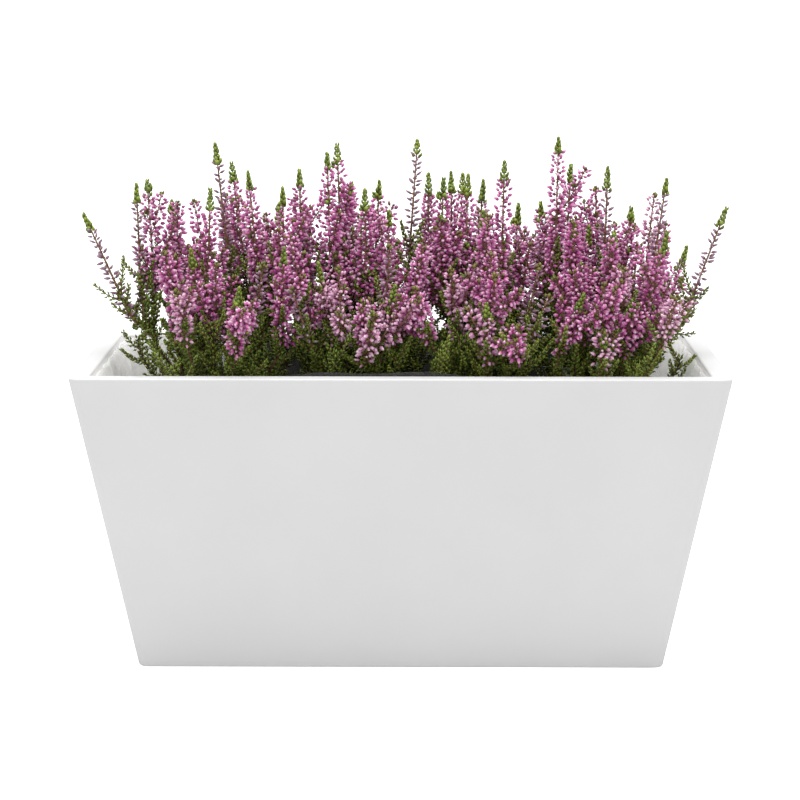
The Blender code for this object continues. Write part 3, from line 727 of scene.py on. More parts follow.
def stamped(form, base, aim, side, length, width, draw):
    """Copies of a form, one at each base point along aim, turned to its side, with its own length and width.

    In the tone, red is half drawn for all copies together and half for each, green runs from 0 at a copy's
    foot to 1 at its end, and blue is drawn for each copy."""
    verts, tris = form
    count = len(base)
    across = unit(np.cross(side, aim))
    up = np.cross(aim, across)
    local = verts[None] * np.stack([width, width, length], axis=-1)[:, None]
    placed = (base[:, None] + local[..., :1] * across[:, None] + local[..., 1:2] * up[:, None]
              + local[..., 2:] * aim[:, None])
    faces = tris[None] + (np.arange(count) * len(verts))[:, None, None]
    tone = np.ones((count, len(verts), 4))
    tone[..., 0] = 0.5 * (draw.uniform(0, 1) + draw.uniform(0, 1, count)[:, None])
    tone[..., 1] = verts[:, 2]
    tone[..., 2] = draw.uniform(0, 1, count)[:, None]
    return placed.reshape(-1, 3), faces.reshape(-1, 3), tone.reshape(-1, 4)


def tube(route, start, end, radii, sides):
    """A round stem on a route from start to end, its radius running through radii, closed at both ends."""
    steps = max(2, int((end - start) / TUBE_STEP))
    s = np.linspace(start, end, steps + 1)
    centre, across, over, along = route.frames(s)
    radius = np.interp(np.linspace(0, 1, steps + 1), np.linspace(0, 1, len(radii)), radii)
    turn = math.tau * np.arange(sides) / sides
    ring = np.cos(turn)[None, :, None] * across[:, None] + np.sin(turn)[None, :, None] * over[:, None]
    body = (centre[:, None] + radius[:, None, None] * ring).reshape(-1, 3)
    verts = np.vstack([centre[:1] - 0.5 * radius[0] * along[:1], body, centre[-1:] + radius[-1] * along[-1:]])
    tone = np.full((len(verts), 4), 0.5)
    tone[1:-1, 1] = np.repeat(np.linspace(0, 1, steps + 1), sides)
    return verts, pole_to_pole(steps + 1, sides), tone


def fan(frames, angle, lift):
    """Directions away from a stem at the angles, and the same raised by lift from its cross-section."""
    _, across, over, along = frames
    radial = np.cos(angle)[:, None] * across + np.sin(angle)[:, None] * over
    return radial, np.cos(lift)[:, None] * radial + np.sin(lift)[:, None] * along


def spiral(route, marks, rise, out, wobble, draw):
    """Places round a stem at the distances marks, each turned by the golden angle from the one before.

    rise is the angle in degrees of the aim above the stem's cross-section, out the distance from its axis,
    and wobble the spread of the turn in radians."""
    frames = route.frames(marks)
    centre = frames[0]
    count = len(marks)
    angle = draw.uniform(0, math.tau) + GOLDEN * np.arange(count) + draw.normal(0, wobble, count)
    radial, aim = fan(frames, angle, np.radians(rise + draw.normal(0, RISE_WOBBLE, count)))
    return centre, centre + np.broadcast_to(out, count)[:, None] * radial, aim, radial


def buds_on(route, start, end, kind, draw):
    """Buds of one spike and the cones that carry them: each cone arches up and its bud nods outwards.

    The buds swell over the first fifth of the spike, and shrink towards its tip as the height cubed."""
    habit = HABITS[kind]
    marks = np.arange(start, end, habit["pitch"])
    count = len(marks)
    share = np.linspace(0, 1, count)
    swell = BUD_FIRST + BUD_SWELL * np.minimum(share / BUD_SWELL_OVER, 1.0)
    shrink = (1.0 - BUD_SHRINK * share**3) * swell
    out = habit["out"] * shrink * draw.uniform(*BUD_OUT_SPREAD, count)
    axis, base, aim, radial = spiral(route, marks, between(habit["rise"], share), out, habit["wobble"], draw)
    length = habit["length"] * shrink * draw.uniform(*BUD_SIZE_SPREAD, count)
    width = habit["width"] * shrink * draw.uniform(*BUD_SIZE_SPREAD, count)
    buds = stamped(bud_form(), base, aim, radial, length, width, draw)
    axis[:, 2] -= CONE_DROP * out
    reach = base + CONE_INTO_BUD * length[:, None] * aim - axis
    side = np.cross(unit(reach), radial) + CONE_TURN * radial
    far = np.linalg.norm(reach, axis=1)
    return buds, stamped(cone_form(), axis, unit(reach), side, far, np.full(count, CONE_WIDTH), draw)


def leaf_pairs(route, start, end, pitch, length, width, rise, out, draw, shape=LEAF_RINGS):
    """Scale leaves in opposite pairs, each pair a quarter turn from the last, between two distances.

    Each size runs from its first value at the start to its second at the end."""
    rows = np.repeat(np.arange(start, end, pitch), 2)
    count = len(rows)
    share = np.linspace(0, 1, count)
    frames = route.frames(rows)
    angle = draw.uniform(0, math.tau) + math.pi * np.arange(count) + 0.5 * math.pi * (np.arange(count) // 2)
    angle = angle + draw.normal(0, LEAF_WOBBLE, count)
    lift = np.radians(between(rise, share) + draw.normal(0, LEAF_RISE_WOBBLE, count))
    radial, aim = fan(frames, angle, lift)
    base = frames[0] + between(out, share)[:, None] * radial
    long = between(length, share) * draw.uniform(*LEAF_SPREAD, count)
    wide = between(width, share) * draw.uniform(*LEAF_SPREAD, count)
    return stamped(leaf_form(shape), base, aim, -radial, long, wide, draw)


def sprig_route(base, aim, length, lift):
    """A short side shoot that leaves base along aim and bends up by lift as the distance squared."""
    t = np.linspace(0, 1, SPRIG_POINTS)[:, None]
    return Route(base + length * (t * aim + lift * t**2 * UPRIGHT))


def put(mesh, slot_name, *nodes):
    """The object of a finished mesh: it rides on the body and stands for its nodes."""
    obj = bpy.data.objects.new(mesh.name, mesh)
    bpy.context.scene.collection.objects.link(obj)
    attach(obj, "root")
    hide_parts(*nodes)
    return obj


def grown_piece(name, parts, slot_name, node):
    """One object from parts of (points in millimetres, triangles, tones) and their material."""
    materials = list(dict.fromkeys(paint for _, paint in parts))
    first = np.cumsum([0] + [len(part[0]) for part, _ in parts[:-1]])
    verts = np.vstack([part[0] for part, _ in parts]) * MM
    tris = np.vstack([part[1] + start for (part, _), start in zip(parts, first)])
    number = np.concatenate([np.full(len(part[1]), materials.index(paint)) for part, paint in parts])
    mesh = bpy.data.meshes.new(name)
    mesh.from_pydata(verts, [], tris)
    for paint in materials:
        mesh.materials.append(paint)
    mesh.polygons.foreach_set("material_index", number.astype(np.int32))
    mesh.polygons.foreach_set("use_smooth", np.ones(len(tris), bool))
    tone = mesh.attributes.new("tone", "FLOAT_COLOR", "POINT")
    tone.data.foreach_set("color", np.vstack([part[2] for part, _ in parts]).astype(np.float32).ravel())
    mesh.update()
    return put(mesh, slot_name, node)


def twig(route, radii, paint):
    """The thin stem of a side shoot, up to just short of its tip."""
    return tube(route, 0.0, route.length - TWIG_STOP, radii, TWIG_SIDES), paint["stalk"]


def leafy_tip(route, start, paint, draw, shape=LEAF_RINGS):
    """The green end of a shoot: plaited pairs of scale leaves that close over its tip."""
    return leaf_pairs(route, start, route.length - TIP_STOP, TIP_PITCH, *TIP_LEAF, draw, shape), paint


def tufts(route, places, rise, paint, draw):
    """Small green shoots that leave a spike at the given distances, each a stem in plaited scale leaves."""
    parts = []
    _, base, aim, _ = spiral(route, np.array(places), rise, 1.0, ANY_TURN, draw)
    for point, direction in zip(base, aim):
        tuft = sprig_route(point, direction, draw.uniform(*TUFT_LENGTH), SIDE_LIFT)
        parts.append(twig(tuft, TWIG_RADII, paint))
        parts.append(leafy_tip(tuft, TUFT_BARE * tuft.length, paint["leaf"], draw))
    return parts


def side_spike(route, s, aim, length, kind, paint, draw):
    """A short flowering side branch that leaves a spike along aim and turns upwards, with a leafy tip."""
    branch = sprig_route(route.at(np.array([s]))[0], aim, length, SIDE_LIFT)
    tip = branch.length - SIDE_TIP * draw.uniform(*SIDE_TIP_SPREAD)
    buds, cones = buds_on(branch, SIDE_BARE, tip, kind, draw)
    return [twig(branch, SIDE_RADII, paint), (buds, paint[kind]), (cones, paint["stalk"]),
            leafy_tip(branch, tip - LEAF_MARGIN, paint["bract"], draw, TWIG_RINGS)]


def spike_parts(route, kind, start, placed, paint, draw):
    """One spike: stem, leafy stalk, buds, bracts, tufts, side branches and tip, longer if listed one by one.
    """
    tip = route.length - TIP_LENGTH * draw.uniform(*TIP_SHARES[placed])
    span = tip - route.foot
    buds, cones = buds_on(route, route.foot - BUDS_BELOW_FOOT, tip, kind, draw)
    bracts = leaf_pairs(route, route.foot, tip, BRACT_PITCH, *BRACT_LEAF, draw, TWIG_RINGS)
    stem = tube(route, start, route.length - STALK_STOP, STALK_RADII, STALK_SIDES)
    parts = [(stem, paint["stalk"]), (buds, paint[kind]), (cones, paint["stalk"]), (bracts, paint["bract"]),
             leafy_tip(route, tip - LEAF_MARGIN, paint["leaf" if placed else "bract"], draw)]
    parts += leafy_stem(route, start + LEAF_MARGIN, route.foot + UNDER_SHARE * span, draw, paint)
    if placed:
        low = draw.uniform(*TUFT_PLACES, TUFTS[kind])
        high = draw.uniform(*TIP_TUFT_PLACES, draw.integers(0, TIP_TUFTS + TUFTS[kind]))
        parts += tufts(route, route.foot + span * low, SIDE_RISE, paint, draw)
        parts += tufts(route, tip - high, TIP_RISE, paint, draw)
    for _ in range(SIDE_COUNT[kind] + PLACED_SIDES * (placed and kind == "full")):
        s = route.foot + draw.uniform(*SIDE_PLACES) * span
        _, _, aim, _ = spiral(route, np.array([s]), SIDE_RISE, 0.0, ANY_TURN, draw)
        length = min(draw.uniform(*SIDE_LENGTH), SIDE_MOST * (route.length - s))
        parts += side_spike(route, s, aim[0], length, kind, paint, draw)
    return parts


def spike_pieces(plan, paint):
    """One piece for each spray of spikes."""
    draw = np.random.default_rng(SEED + 1)
    for number, spray in enumerate(plan["sprays"], start=1):
        parts = []
        for index in spray:
            route = Route(plan["paths"][index])
            start = 0.0 if plan["main"][index] >= 0 else route.seat
            parts += spike_parts(route, plan["kinds"][index], start, index < len(PLACED), paint, draw)
        grown_piece(f"spray_{number:02d}", parts, "flowers", f"spike_{number:02d}")


def leafy_stem(route, bare, end, draw, paint):
    """The scale leaves of one stem and its side sprigs, each clothed in smaller leaves."""
    parts = [(leaf_pairs(route, bare, end, LEAFY_PITCH, *LEAFY_LEAF, draw, TWIG_RINGS), paint["leaf"])]
    marks = np.arange(bare + SPRIG_FROM, end - LEAF_MARGIN, SPRIG_GAP)
    if not len(marks):
        return parts
    _, base, aim, _ = spiral(route, marks, SPRIG_RISE, SPRIG_OUT, SPRIG_WOBBLE, draw)
    for point, direction in zip(base, aim):
        sprig = sprig_route(point, direction, draw.uniform(*SPRIG_LENGTH), SPRIG_LIFT)
        leaves = leaf_pairs(sprig, SPRIG_BARE, sprig.length - SPRIG_BARE, SPRIG_PITCH, *SPRIG_LEAF, draw,
                            TWIG_RINGS)
        parts += [twig(sprig, TWIG_RADII, paint), (leaves, paint["leaf"])]
    return parts


def low_stem(route, draw, more, paint):
    """The woody stem below a spray and its green, twice as thick where it ends in a gap between plants."""
    end = route.seat - SEAT_GAP
    bare = min(route.height(LEAFY_FROM), end - LEAFY_LEAST)
    green = leafy_stem(route, bare, end, draw, paint)
    if min(abs(route.at(np.array([end]))[0, 0] - gap) for gap in GAPS) < GAP_HALF:
        green += leafy_stem(route, bare, end + GAP_RISE, more, paint)
    return (tube(route, 0.0, end, WOOD_RADII, WOOD_SIDES), paint["wood"]), green


def green_shoot(route, draw, paint):
    """A short shoot: its woody stem, and its green as far as the tip."""
    wood = tube(route, 0.0, route.length - SHOOT_STOP, SHOOT_RADII, WOOD_SIDES)
    green = leafy_stem(route, route.height(LEAFY_FROM), route.length - LEAF_MARGIN, draw, paint)
    return (wood, paint["wood"]), green


def trunk(plant, draw):
    """The gnarled trunk: rings round an upright axis, fluted by a sine wave that drifts with height."""
    x, y = CROWNS[plant]
    turn = math.tau * np.arange(TRUNK_SIDES) / TRUNK_SIDES
    z = np.linspace(CROWN_FOOT, CROWN_TOP, TRUNK_ROWS)[:, None]
    wave = 1 + np.sin(TRUNK_FLUTES * turn[None] + draw.uniform(0, math.tau) + TRUNK_DRIFT * z)
    flute = 1.0 - TRUNK_FLUTE_DEPTH * wave / 2
    radius = CROWN_RADIUS * flute * np.linspace(1.0, TRUNK_TOP_SHARE, TRUNK_ROWS)[:, None]
    level = np.broadcast_to(z, radius.shape)
    ring = np.stack([x + radius * np.cos(turn), y + radius * np.sin(turn), level], axis=-1).reshape(-1, 3)
    verts = np.vstack([[(x, y, CROWN_FOOT)], ring, [(x, y, CROWN_TOP)]])
    return verts, pole_to_pole(TRUNK_ROWS, TRUNK_SIDES), np.full((len(verts), 4), 0.5)


def plant_pieces(plan, paint):
    """Two pieces for each plant: its trunk and woody stems, and all the green on them."""
    draw = np.random.default_rng(SEED + 2)
    more = np.random.default_rng(SEED + 3)
    for plant in range(len(CROWNS)):
        wood = [(trunk(plant, draw), paint["wood"])]
        green = []
        sprays = [spray[0] for spray in plan["sprays"] if plan["plants"][spray[0]] == plant]
        shoots = [index for owner, index in plan["shoots"] if owner == plant]
        clothed = [low_stem(Route(plan["paths"][index]), draw, more, paint) for index in sprays]
        clothed += [green_shoot(Route(plan["paths"][index]), draw, paint) for index in shoots]
        for stem, leaves in clothed:
            wood.append(stem)
            green += leaves
        grown_piece(f"stems_{plant + 1}", wood, "foliage", f"plant_{plant + 1}")
        grown_piece(f"leaves_{plant + 1}", green, "foliage", f"plant_{plant + 1}")


def rounded_outline(half_x, half_y, radius, steps):
    """Outline of a rectangle with round corners, anticlockwise from above."""
    corners = ((1, -1, -0.25), (1, 1, 0.0), (-1, 1, 0.25), (-1, -1, 0.5))
    points = []
    for sx, sy, turn in corners:
        angle = math.tau * (turn + 0.25 * np.linspace(0, 1, steps + 1))
        points.append(np.stack([sx * (half_x - radius) + radius * np.cos(angle),
                                sy * (half_y - radius) + radius * np.sin(angle)], axis=-1))
    return np.vstack(points)


def wall_profile():
    """Distance inwards from the outer face and height, up the outside, over the rim and down the inside.

    The foot and both edges of the rim are quarter circles."""
    edge = PLANTER_EDGE
    shoulder = PLANTER_HEIGHT - edge
    turn = 0.5 * math.pi * np.linspace(0, 1, EDGE_POINTS)
    foot = np.stack([edge * (1 - np.sin(turn)), edge * (1 - np.cos(turn))], axis=-1)
    rise = np.stack([np.zeros(OUTSIDE_ROWS), np.linspace(edge, shoulder, OUTSIDE_ROWS + 2)[1:-1]], axis=-1)
    outer = np.stack([edge * (1 - np.cos(turn)), shoulder + edge * np.sin(turn)], axis=-1)
    inner = np.stack([PLANTER_WALL - edge + edge * np.sin(turn), shoulder + edge * np.cos(turn)], axis=-1)
    levels = np.linspace(shoulder, PLANTER_WALL, INSIDE_ROWS + 1)[1:]
    drop = np.stack([np.full(INSIDE_ROWS, PLANTER_WALL), levels], axis=-1)
    return np.vstack([foot, rise, outer, inner, drop])


def surface_piece(name, rings, paint, crease, slot_name, node):
    """A closed piece through rings of equal point count, its first and last ring capped flat."""
    count, rows = len(rings[0]), len(rings)
    j = np.arange(count)
    k = (j + 1) % count
    band = np.stack([j, k, count + k, count + j], axis=-1)
    faces = np.vstack([row * count + band for row in range(rows - 1)]).tolist()
    faces.append(list(range(count - 1, -1, -1)))
    faces.append(list(range((rows - 1) * count, rows * count)))
    mesh = bpy.data.meshes.new(name)
    mesh.from_pydata((np.vstack(rings) * MM).tolist(), [], faces)
    mesh.materials.append(paint)
    mesh.polygons.foreach_set("use_smooth", np.ones(len(faces), bool))
    mesh.update()
    mesh.set_sharp_from_angle(angle=math.radians(crease))
    return put(mesh, slot_name, node)


def planter_piece(paint):
    """The trough: its wall profile carried round a rounded outline that narrows towards the foot.

    Its inner walls and floor have a paint of their own, the same white painted lighter: painted light on the
    shaded inside."""
    rings = []
    for inset, height in wall_profile():
        lean = PLANTER_TAPER * (1.0 - height / PLANTER_HEIGHT) + inset
        radius = max(PLANTER_CORNER - CORNER_SHRINK * inset, CORNER_LEAST)
        outline = rounded_outline(PLANTER_LENGTH / 2 - lean, PLANTER_DEPTH / 2 - lean, radius, CORNER_STEPS)
        rings.append(np.column_stack([outline, np.full(len(outline), height)]))
    trough = surface_piece("trough", rings, paint["trough"], PLANTER_CREASE, "planter", "planter")
    # The lighter inside paint is painted light
    trough.data.materials.append(paint["inside"])
    inside = np.arange(len(trough.data.polygons)) >= (len(rings) - INSIDE_ROWS - 1) * len(rings[0])
    # The last face is the inner floor, and the one before it is the underside
    inside[-2] = False
    trough.data.polygons.foreach_set("material_index", inside.astype(int))


def around(outline, count):
    """A closed outline read again at equal distances."""
    closed = np.vstack([outline, outline[:1]])
    distance = np.concatenate([[0.0], np.cumsum(np.linalg.norm(np.diff(closed, axis=0), axis=1))])
    s = np.linspace(0.0, distance[-1], count, endpoint=False)
    return np.stack([np.interp(s, distance, closed[:, k]) for k in range(2)], axis=-1)


def film_edge(x):
    """Height of the film's edge along the planter, x being -1 at one end and 1 at the other.

    It is a slow cosine with a quick sine on it along the middle, and falls to just under the rim at the
    ends."""
    (slow, slow_turns, phase), (quick, quick_turns) = EDGE_WAVES
    wave = 0.5 + slow * np.cos(slow_turns * x + phase) + quick * np.sin(quick_turns * x)
    middle = np.clip(EDGE_MIDDLE - EDGE_FALL * np.abs(x), 0.0, 1.0)
    return PLANTER_HEIGHT - FILM_EDGE_DROP + FILM_EDGE_LIFT * wave * middle


def film_stand(x, share):
    """How far the film stands off the walls: cubes of sine waves round it, deepest at the ends.

    The waves drift with height. All of it grows from nothing at the peat, share 0, and draws in towards
    the edge, share 1."""
    run = np.linspace(0.0, FOLD_RUN, FILM_POINTS)
    fold = sum(deep * np.abs(np.sin(turns * run + drift * share)) ** 3 for deep, turns, drift in FOLD_WAVES)
    at_end = np.clip((np.abs(x) - FILM_END_FROM) / FILM_END_SPAN, 0.0, 1.0)
    ends = at_end * (FILM_STAND_OFF + FILM_FOLD * fold)
    middle = (1.0 - at_end) * (MIDDLE_STAND_OFF + MIDDLE_FOLD * fold)
    return BELLY * share**BELLY_POWER * (BELLY_TOP - share) * (ends + middle)


def film_row(share, thick):
    """One row of points round the film, from the peat at share 0 to its edge at share 1."""
    rim = inner_half(np.array(PLANTER_HEIGHT))
    reach = around(rounded_outline(*rim, FILM_CORNER, FILM_CORNER_STEPS), FILM_POINTS)
    x = reach[:, 0] / (PLANTER_LENGTH / 2)
    height = SOIL_TOP + share * (film_edge(x) - SOIL_TOP)
    flat = reach * (inner_half(height) - FIT_GAP - thick) / rim
    side = unit(np.roll(flat, -1, axis=0) - np.roll(flat, 1, axis=0))
    inward = np.stack([-side[:, 1], side[:, 0]], axis=-1)
    return np.column_stack([flat + film_stand(x, share)[:, None] * inward, height])


def film_foot(thick):
    """The ring of points where the film meets the planter's floor."""
    low = PLANTER_WALL + FIT_GAP + thick
    half = inner_half(np.array(low)) - FIT_GAP - thick
    ring = around(rounded_outline(*half, FILM_CORNER, FILM_CORNER_STEPS), FILM_POINTS)
    return np.column_stack([ring, np.full(FILM_POINTS, low)])


def film_piece(paint):
    """The film bag: straight up the walls to the peat, then in folds to its edge, as a thin closed sheet."""
    shares = np.linspace(0.0, 1.0, FILM_ROWS)
    outside = [film_foot(0.0)] + [film_row(share, 0.0) for share in shares]
    inside = [film_row(share, FILM_THICK) for share in shares[::-1]] + [film_foot(FILM_THICK)]
    surface_piece("liner", outside + inside, paint, FILM_CREASE, "film", "film_liner")


def peat_top(half):
    """The top of the peat as a grid: two waves across it and seeded grit, level along the edge."""
    draw = np.random.default_rng(SEED + 3)
    u, v = np.meshgrid(*(np.linspace(-1, 1, steps + 1) for steps in PEAT_GRID), indexing="ij")
    (first_u, first_v), (second_u, second_v) = PEAT_WAVES
    bump = SOIL_BUMP * (np.sin(first_u * u + first_v * v) + np.cos(second_v * v + second_u * u)) / 2
    inner_u, inner_v = (np.abs(w) <= level for w, level in zip((u, v), PEAT_LEVEL_FROM))
    grit = draw.normal(0, PEAT_GRIT, u.shape) * inner_u * inner_v
    return np.stack([u * half[0], v * half[1], SOIL_TOP - PEAT_DROP + bump + grit], axis=-1)


def peat_piece(paint):
    """The peat: its top, sides that taper with the planter, and a flat foot."""
    inset = 2 * FIT_GAP + FILM
    low = PLANTER_WALL + inset
    half = inner_half(np.array(SOIL_TOP)) - inset - PEAT_SLACK
    foot = inner_half(np.array(low)) - inset - PEAT_SLACK
    top = peat_top(half)
    index = np.arange(top[..., 0].size).reshape(top.shape[:2])
    cells = np.stack([index[:-1, :-1], index[1:, :-1], index[1:, 1:], index[:-1, 1:]], axis=-1)
    edge = np.concatenate([index[:, 0], index[-1, 1:], index[-2::-1, -1], index[0, -2:0:-1]])
    flat = top.reshape(-1, 3)
    base = flat[edge] * np.array([foot[0] / half[0], foot[1] / half[1], 0.0]) + low * UPRIGHT
    below = len(flat) + np.arange(len(edge))
    sides = np.stack([np.roll(edge, -1), edge, below, np.roll(below, -1)], axis=-1)
    faces = cells.reshape(-1, 4).tolist() + sides.tolist() + [below[::-1].tolist()]
    mesh = bpy.data.meshes.new("peat_bed")
    mesh.from_pydata((np.vstack([flat, base]) * MM).tolist(), [], faces)
    mesh.materials.append(paint)
    mesh.polygons.foreach_set("use_smooth", np.ones(len(faces), bool))
    put(mesh, "soil", "soil")


def linear(colour):
    """Screen colour turned into the light values that shaders use, by the standard curve of screens."""
    seen = np.array(colour)
    light = np.where(seen <= 0.04045, seen / 12.92, ((seen + 0.055) / 1.055) ** 2.4)
    return (*light.tolist(), 1.0)


class Wiring:
    """Short ways to add nodes to a tree and join them."""

    def __init__(self, tree):
        self.tree = tree

    def node(self, kind, **settings):
        """A new node of a kind with its settings."""
        made = self.tree.nodes.new(kind)
        for name, value in settings.items():
            setattr(made, name, value)
        return made

    def join(self, source, out, target, into):
        """A link from an output to an input."""
        self.tree.links.new(source.outputs[out], target.inputs[into])

    def split(self, source, out, kind, into):
        """A vector or a colour taken apart by a node of that kind."""
        made = self.node(kind)
        self.join(source, out, made, into)
        return made

    def ranged(self, source, out, given, wanted):
        """The value carried from one span, kept within it, to another."""
        made = self.node("ShaderNodeMapRange")
        for socket, value in zip(("From Min", "From Max", "To Min", "To Max"), (*given, *wanted)):
            made.inputs[socket].default_value = value
        self.join(source, out, made, "Value")
        return made

    def mix(self, factor, a, a_out, b, b_out):
        """A blend of two colours by a factor node."""
        made = self.node("ShaderNodeMix", data_type="RGBA")
        self.join(factor, 0, made, 0)
        self.join(a, a_out, made, MIX_FIRST)
        self.join(b, b_out, made, MIX_SECOND)
        return made

    def math(self, operation, a, a_out, b, b_out, third=None):
        """A sum or product of two values, with a constant third value where it has one."""
        made = self.node("ShaderNodeMath", operation=operation)
        self.join(a, a_out, made, 0)
        self.join(b, b_out, made, 1)
        if third is not None:
            made.inputs[2].default_value = third
        return made

    def grain(self, size):
        """The object's own coordinates, and noise with so many grains to a metre on them."""
        place = self.node("ShaderNodeTexCoord")
        noise = self.node("ShaderNodeTexNoise")
        noise.inputs["Scale"].default_value = size
        self.join(place, "Object", noise, "Vector")
        return place, noise


def growth_group():
    """Colour from a dark foot through the body to a pale end of each small form, and different from form to
    form. The dark foot is partly the form's own colour and partly painted shade, the pale end partly its own
    colour and partly a painted highlight.

    Its lightness is 1 and the spread of light times how far the form's drawn blue is from a half."""
    group = bpy.data.node_groups.new("growth_colour", "ShaderNodeTree")
    for name in ("Foot", "Body", "End", "Other"):
        group.interface.new_socket(name, in_out="INPUT", socket_type="NodeSocketColor")
    for name, value in (("Spread", 0.6), ("Light Spread", 0.3), ("End From", END_FROM)):
        socket = group.interface.new_socket(name, in_out="INPUT", socket_type="NodeSocketFloat")
        socket.default_value = value
    group.interface.new_socket("Colour", in_out="OUTPUT", socket_type="NodeSocketColor")
    tree = Wiring(group)
    given = tree.node("NodeGroupInput")
    tone = tree.node("ShaderNodeAttribute", attribute_name="tone")
    part = tree.split(tone, "Color", "ShaderNodeSeparateColor", "Color")
    low = tree.mix(tree.ranged(part, "Green", (0.0, BODY_FROM), WHOLE), given, "Foot", given, "Body")
    end = tree.ranged(part, "Green", WHOLE, WHOLE)
    tree.join(given, "End From", end, "From Min")
    body = tree.mix(end, low, MIX_RESULT, given, "End")
    other = tree.math("MULTIPLY", part, "Red", given, "Spread")
    mixed = tree.mix(other, body, MIX_RESULT, given, "Other")
    raised = tree.math("MULTIPLY_ADD", part, "Blue", given, "Light Spread", 1.0)
    value = tree.node("ShaderNodeMath", operation="MULTIPLY_ADD")
    value.inputs[1].default_value = -0.5
    tree.join(given, "Light Spread", value, 0)
    tree.join(raised, 0, value, 2)
    shade = tree.node("ShaderNodeHueSaturation")
    tree.join(mixed, MIX_RESULT, shade, "Color")
    tree.join(value, 0, shade, "Value")
    tree.join(shade, "Color", tree.node("NodeGroupOutput"), "Colour")
    return group


def material(name, **fixed):
    """A new material, its shader and the wiring of its tree, with constants set on the shader."""
    made = bpy.data.materials.new(name)
    made.use_nodes = True
    shader = made.node_tree.nodes["Principled BSDF"]
    for socket, value in fixed.items():
        shader.inputs[socket.replace("_", " ")].default_value = value
    return made, shader, Wiring(made.node_tree)


def grown(group, name, colours, spread, light_spread, roughness):
    """A plant surface coloured by the growth group."""
    made, shader, tree = material(name, Roughness=roughness)
    colour = tree.node("ShaderNodeGroup", node_tree=group)
    for socket, value in colours.items():
        colour.inputs[socket].default_value = linear(value)
    colour.inputs["Spread"].default_value = spread
    colour.inputs["Light Spread"].default_value = light_spread
    tree.join(colour, "Colour", shader, "Base Color")
    return made


def mottled(name, dark, light, grain, relief, roughness):
    """A surface mottled between two colours by noise, which also raises it."""
    made, shader, tree = material(name, Roughness=roughness)
    _, noise = tree.grain(grain)
    noise.inputs["Detail"].default_value = NOISE_DETAIL
    ramp = tree.node("ShaderNodeValToRGB")
    for stop, place, colour in zip(ramp.color_ramp.elements, (DARK_TO, LIGHT_FROM), (dark, light)):
        stop.position = place
        stop.color = linear(colour)
    tree.join(noise, "Fac", ramp, "Fac")
    tree.join(ramp, "Color", shader, "Base Color")
    bump = tree.node("ShaderNodeBump")
    bump.inputs["Strength"].default_value = relief
    bump.inputs["Distance"].default_value = RELIEF_DEPTH
    tree.join(noise, "Fac", bump, "Height")
    tree.join(bump, "Normal", shader, "Normal")
    return made


def film_paint():
    """Clear film: milky at the ends, where it lies double, dark in the middle as painted shade, and glowing
    faintly all over as painted light.
    """
    # The film glows faintly in its own tint: painted light
    made, shader, tree = material("clear_film", Roughness=FILM_ROUGHNESS, Emission_Strength=FILM_PAINTED_GLOW)
    place, noise = tree.grain(FILM_GRAIN)
    part = tree.split(place, "Object", "ShaderNodeSeparateXYZ", "Vector")
    far = tree.node("ShaderNodeMath", operation="ABSOLUTE")
    tree.join(part, "X", far, 0)
    milk = tree.ranged(far, 0, FILM_ENDS, (FILM_CLEAR, FILM_MILKY))
    # A dark, nearly opaque middle: painted shade between the plants
    painted_shade = tree.ranged(far, 0, FILM_SHADE_SPAN, (FILM_SHADE_COVER, FILM_CLEAR))
    streak = tree.ranged(noise, "Fac", FILM_STREAK_FROM, FILM_STREAK_TO)
    veil = tree.math("MAXIMUM", milk, 0, painted_shade, 0)
    tree.join(tree.math("MULTIPLY", veil, 0, streak, 0), 0, shader, "Alpha")
    # The tint turns dark towards the middle: painted shade
    tint = tree.node("ShaderNodeMix", data_type="RGBA")
    tint.inputs[MIX_FIRST].default_value = linear(FILM_SHADE_TINT)
    tint.inputs[MIX_SECOND].default_value = linear(FILM_TINT)
    tree.join(tree.ranged(far, 0, FILM_SHADE_SPAN, WHOLE), 0, tint, 0)
    tree.join(tint, MIX_RESULT, shader, "Base Color")
    tree.join(tint, MIX_RESULT, shader, "Emission Color")
    return made


def paints():
    """All materials by the name that the pieces use."""
    group = growth_group()
    made = {key: grown(group, **looks) for key, looks in GROWN.items()}
    made.update((key, mottled(**looks)) for key, looks in MOTTLED.items())
    made["film"] = film_paint()
    return made


def soft_room():
    """A white world, brighter all round than overhead, which the camera never sees darker than white."""
    world = bpy.data.worlds.new("studio")
    bpy.context.scene.world = world
    world.use_nodes = True
    tree = Wiring(world.node_tree)
    background = world.node_tree.nodes["Background"]
    background.inputs["Color"].default_value = (1.0, 1.0, 1.0, 1.0)
    place = tree.node("ShaderNodeTexCoord")
    part = tree.split(place, "Generated", "ShaderNodeSeparateXYZ", "Vector")
    height = tree.ranged(part, "Z", WHOLE, (ROOM_LEVEL, ROOM_OVERHEAD))
    seen = tree.node("ShaderNodeLightPath")
    strength = tree.math("MAXIMUM", height, "Result", seen, "Is Camera Ray")
    tree.join(strength, 0, background, "Strength")


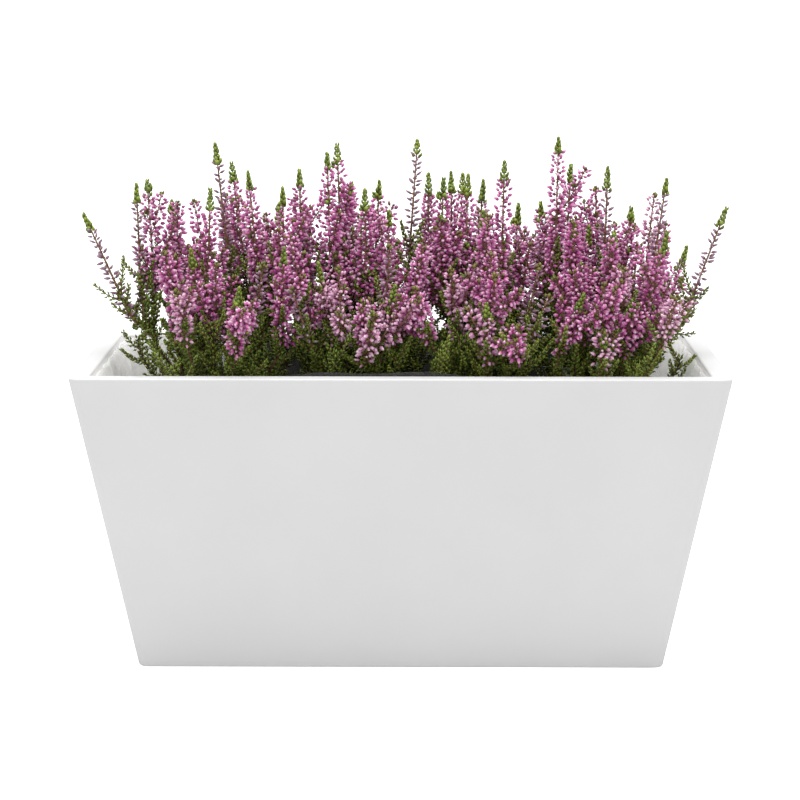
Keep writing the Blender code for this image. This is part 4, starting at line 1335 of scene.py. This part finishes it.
def floor_paint():
    """A pale floor with a glow of its own, far stronger where the camera sees it, so that it stays white."""
    made, shader, tree = material("floor", Roughness=FLOOR_ROUGHNESS, Emission_Strength=FLOOR_GLOW)
    shader.inputs["Base Color"].default_value = linear(FLOOR_WHITE)
    seen = tree.node("ShaderNodeLightPath")
    glow = tree.ranged(seen, "Is Camera Ray", WHOLE, (FLOOR_GLOW_CAST, FLOOR_GLOW_SEEN))
    tree.join(glow, "Result", shader, "Emission Color")
    return made


def pale_floor():
    """A wide square floor under the planter."""
    corners = [(x * FLOOR_SIDE, y * FLOOR_SIDE, 0.0) for x, y in ((-1, -1), (1, -1), (1, 1), (-1, 1))]
    mesh = bpy.data.meshes.new("floor")
    mesh.from_pydata(corners, [], [(0, 1, 2, 3)])
    mesh.materials.append(floor_paint())
    made = bpy.data.objects.new("floor", mesh)
    bpy.context.scene.collection.objects.link(made)


def overhead_light():
    """A soft square light that hangs over the planter and shines straight down."""
    data = bpy.data.lights.new("overhead", "AREA")
    data.size = OVERHEAD_SIZE
    data.energy = OVERHEAD_POWER
    light = bpy.data.objects.new("overhead", data)
    light.location = OVERHEAD_PLACE
    bpy.context.scene.collection.objects.link(light)


def photo_camera():
    """The camera at the photograph's angle, looking a little down from in front."""
    data = bpy.data.cameras.new("camera")
    data.lens = CAMERA_LENS
    camera = bpy.data.objects.new("camera", data)
    camera.location = CAMERA_PLACE
    camera.rotation_euler = (math.radians(90.0 - CAMERA_PITCH), 0.0, math.radians(CAMERA_YAW))
    bpy.context.scene.collection.objects.link(camera)
    bpy.context.scene.camera = camera
    bpy.context.scene.view_settings.view_transform = "Standard"


def write_sizes():
    """Brings the scene up to date."""
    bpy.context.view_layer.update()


def main():
    """The pieces, then the studio round them, then an update of the scene."""
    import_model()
    paint = paints()
    planter_piece(paint)
    film_piece(paint["film"])
    peat_piece(paint["peat"])
    plan = plan_stems()
    plant_pieces(plan, paint)
    spike_pieces(plan, paint)
    pale_floor()
    soft_room()
    overhead_light()
    photo_camera()
    write_sizes()


main()
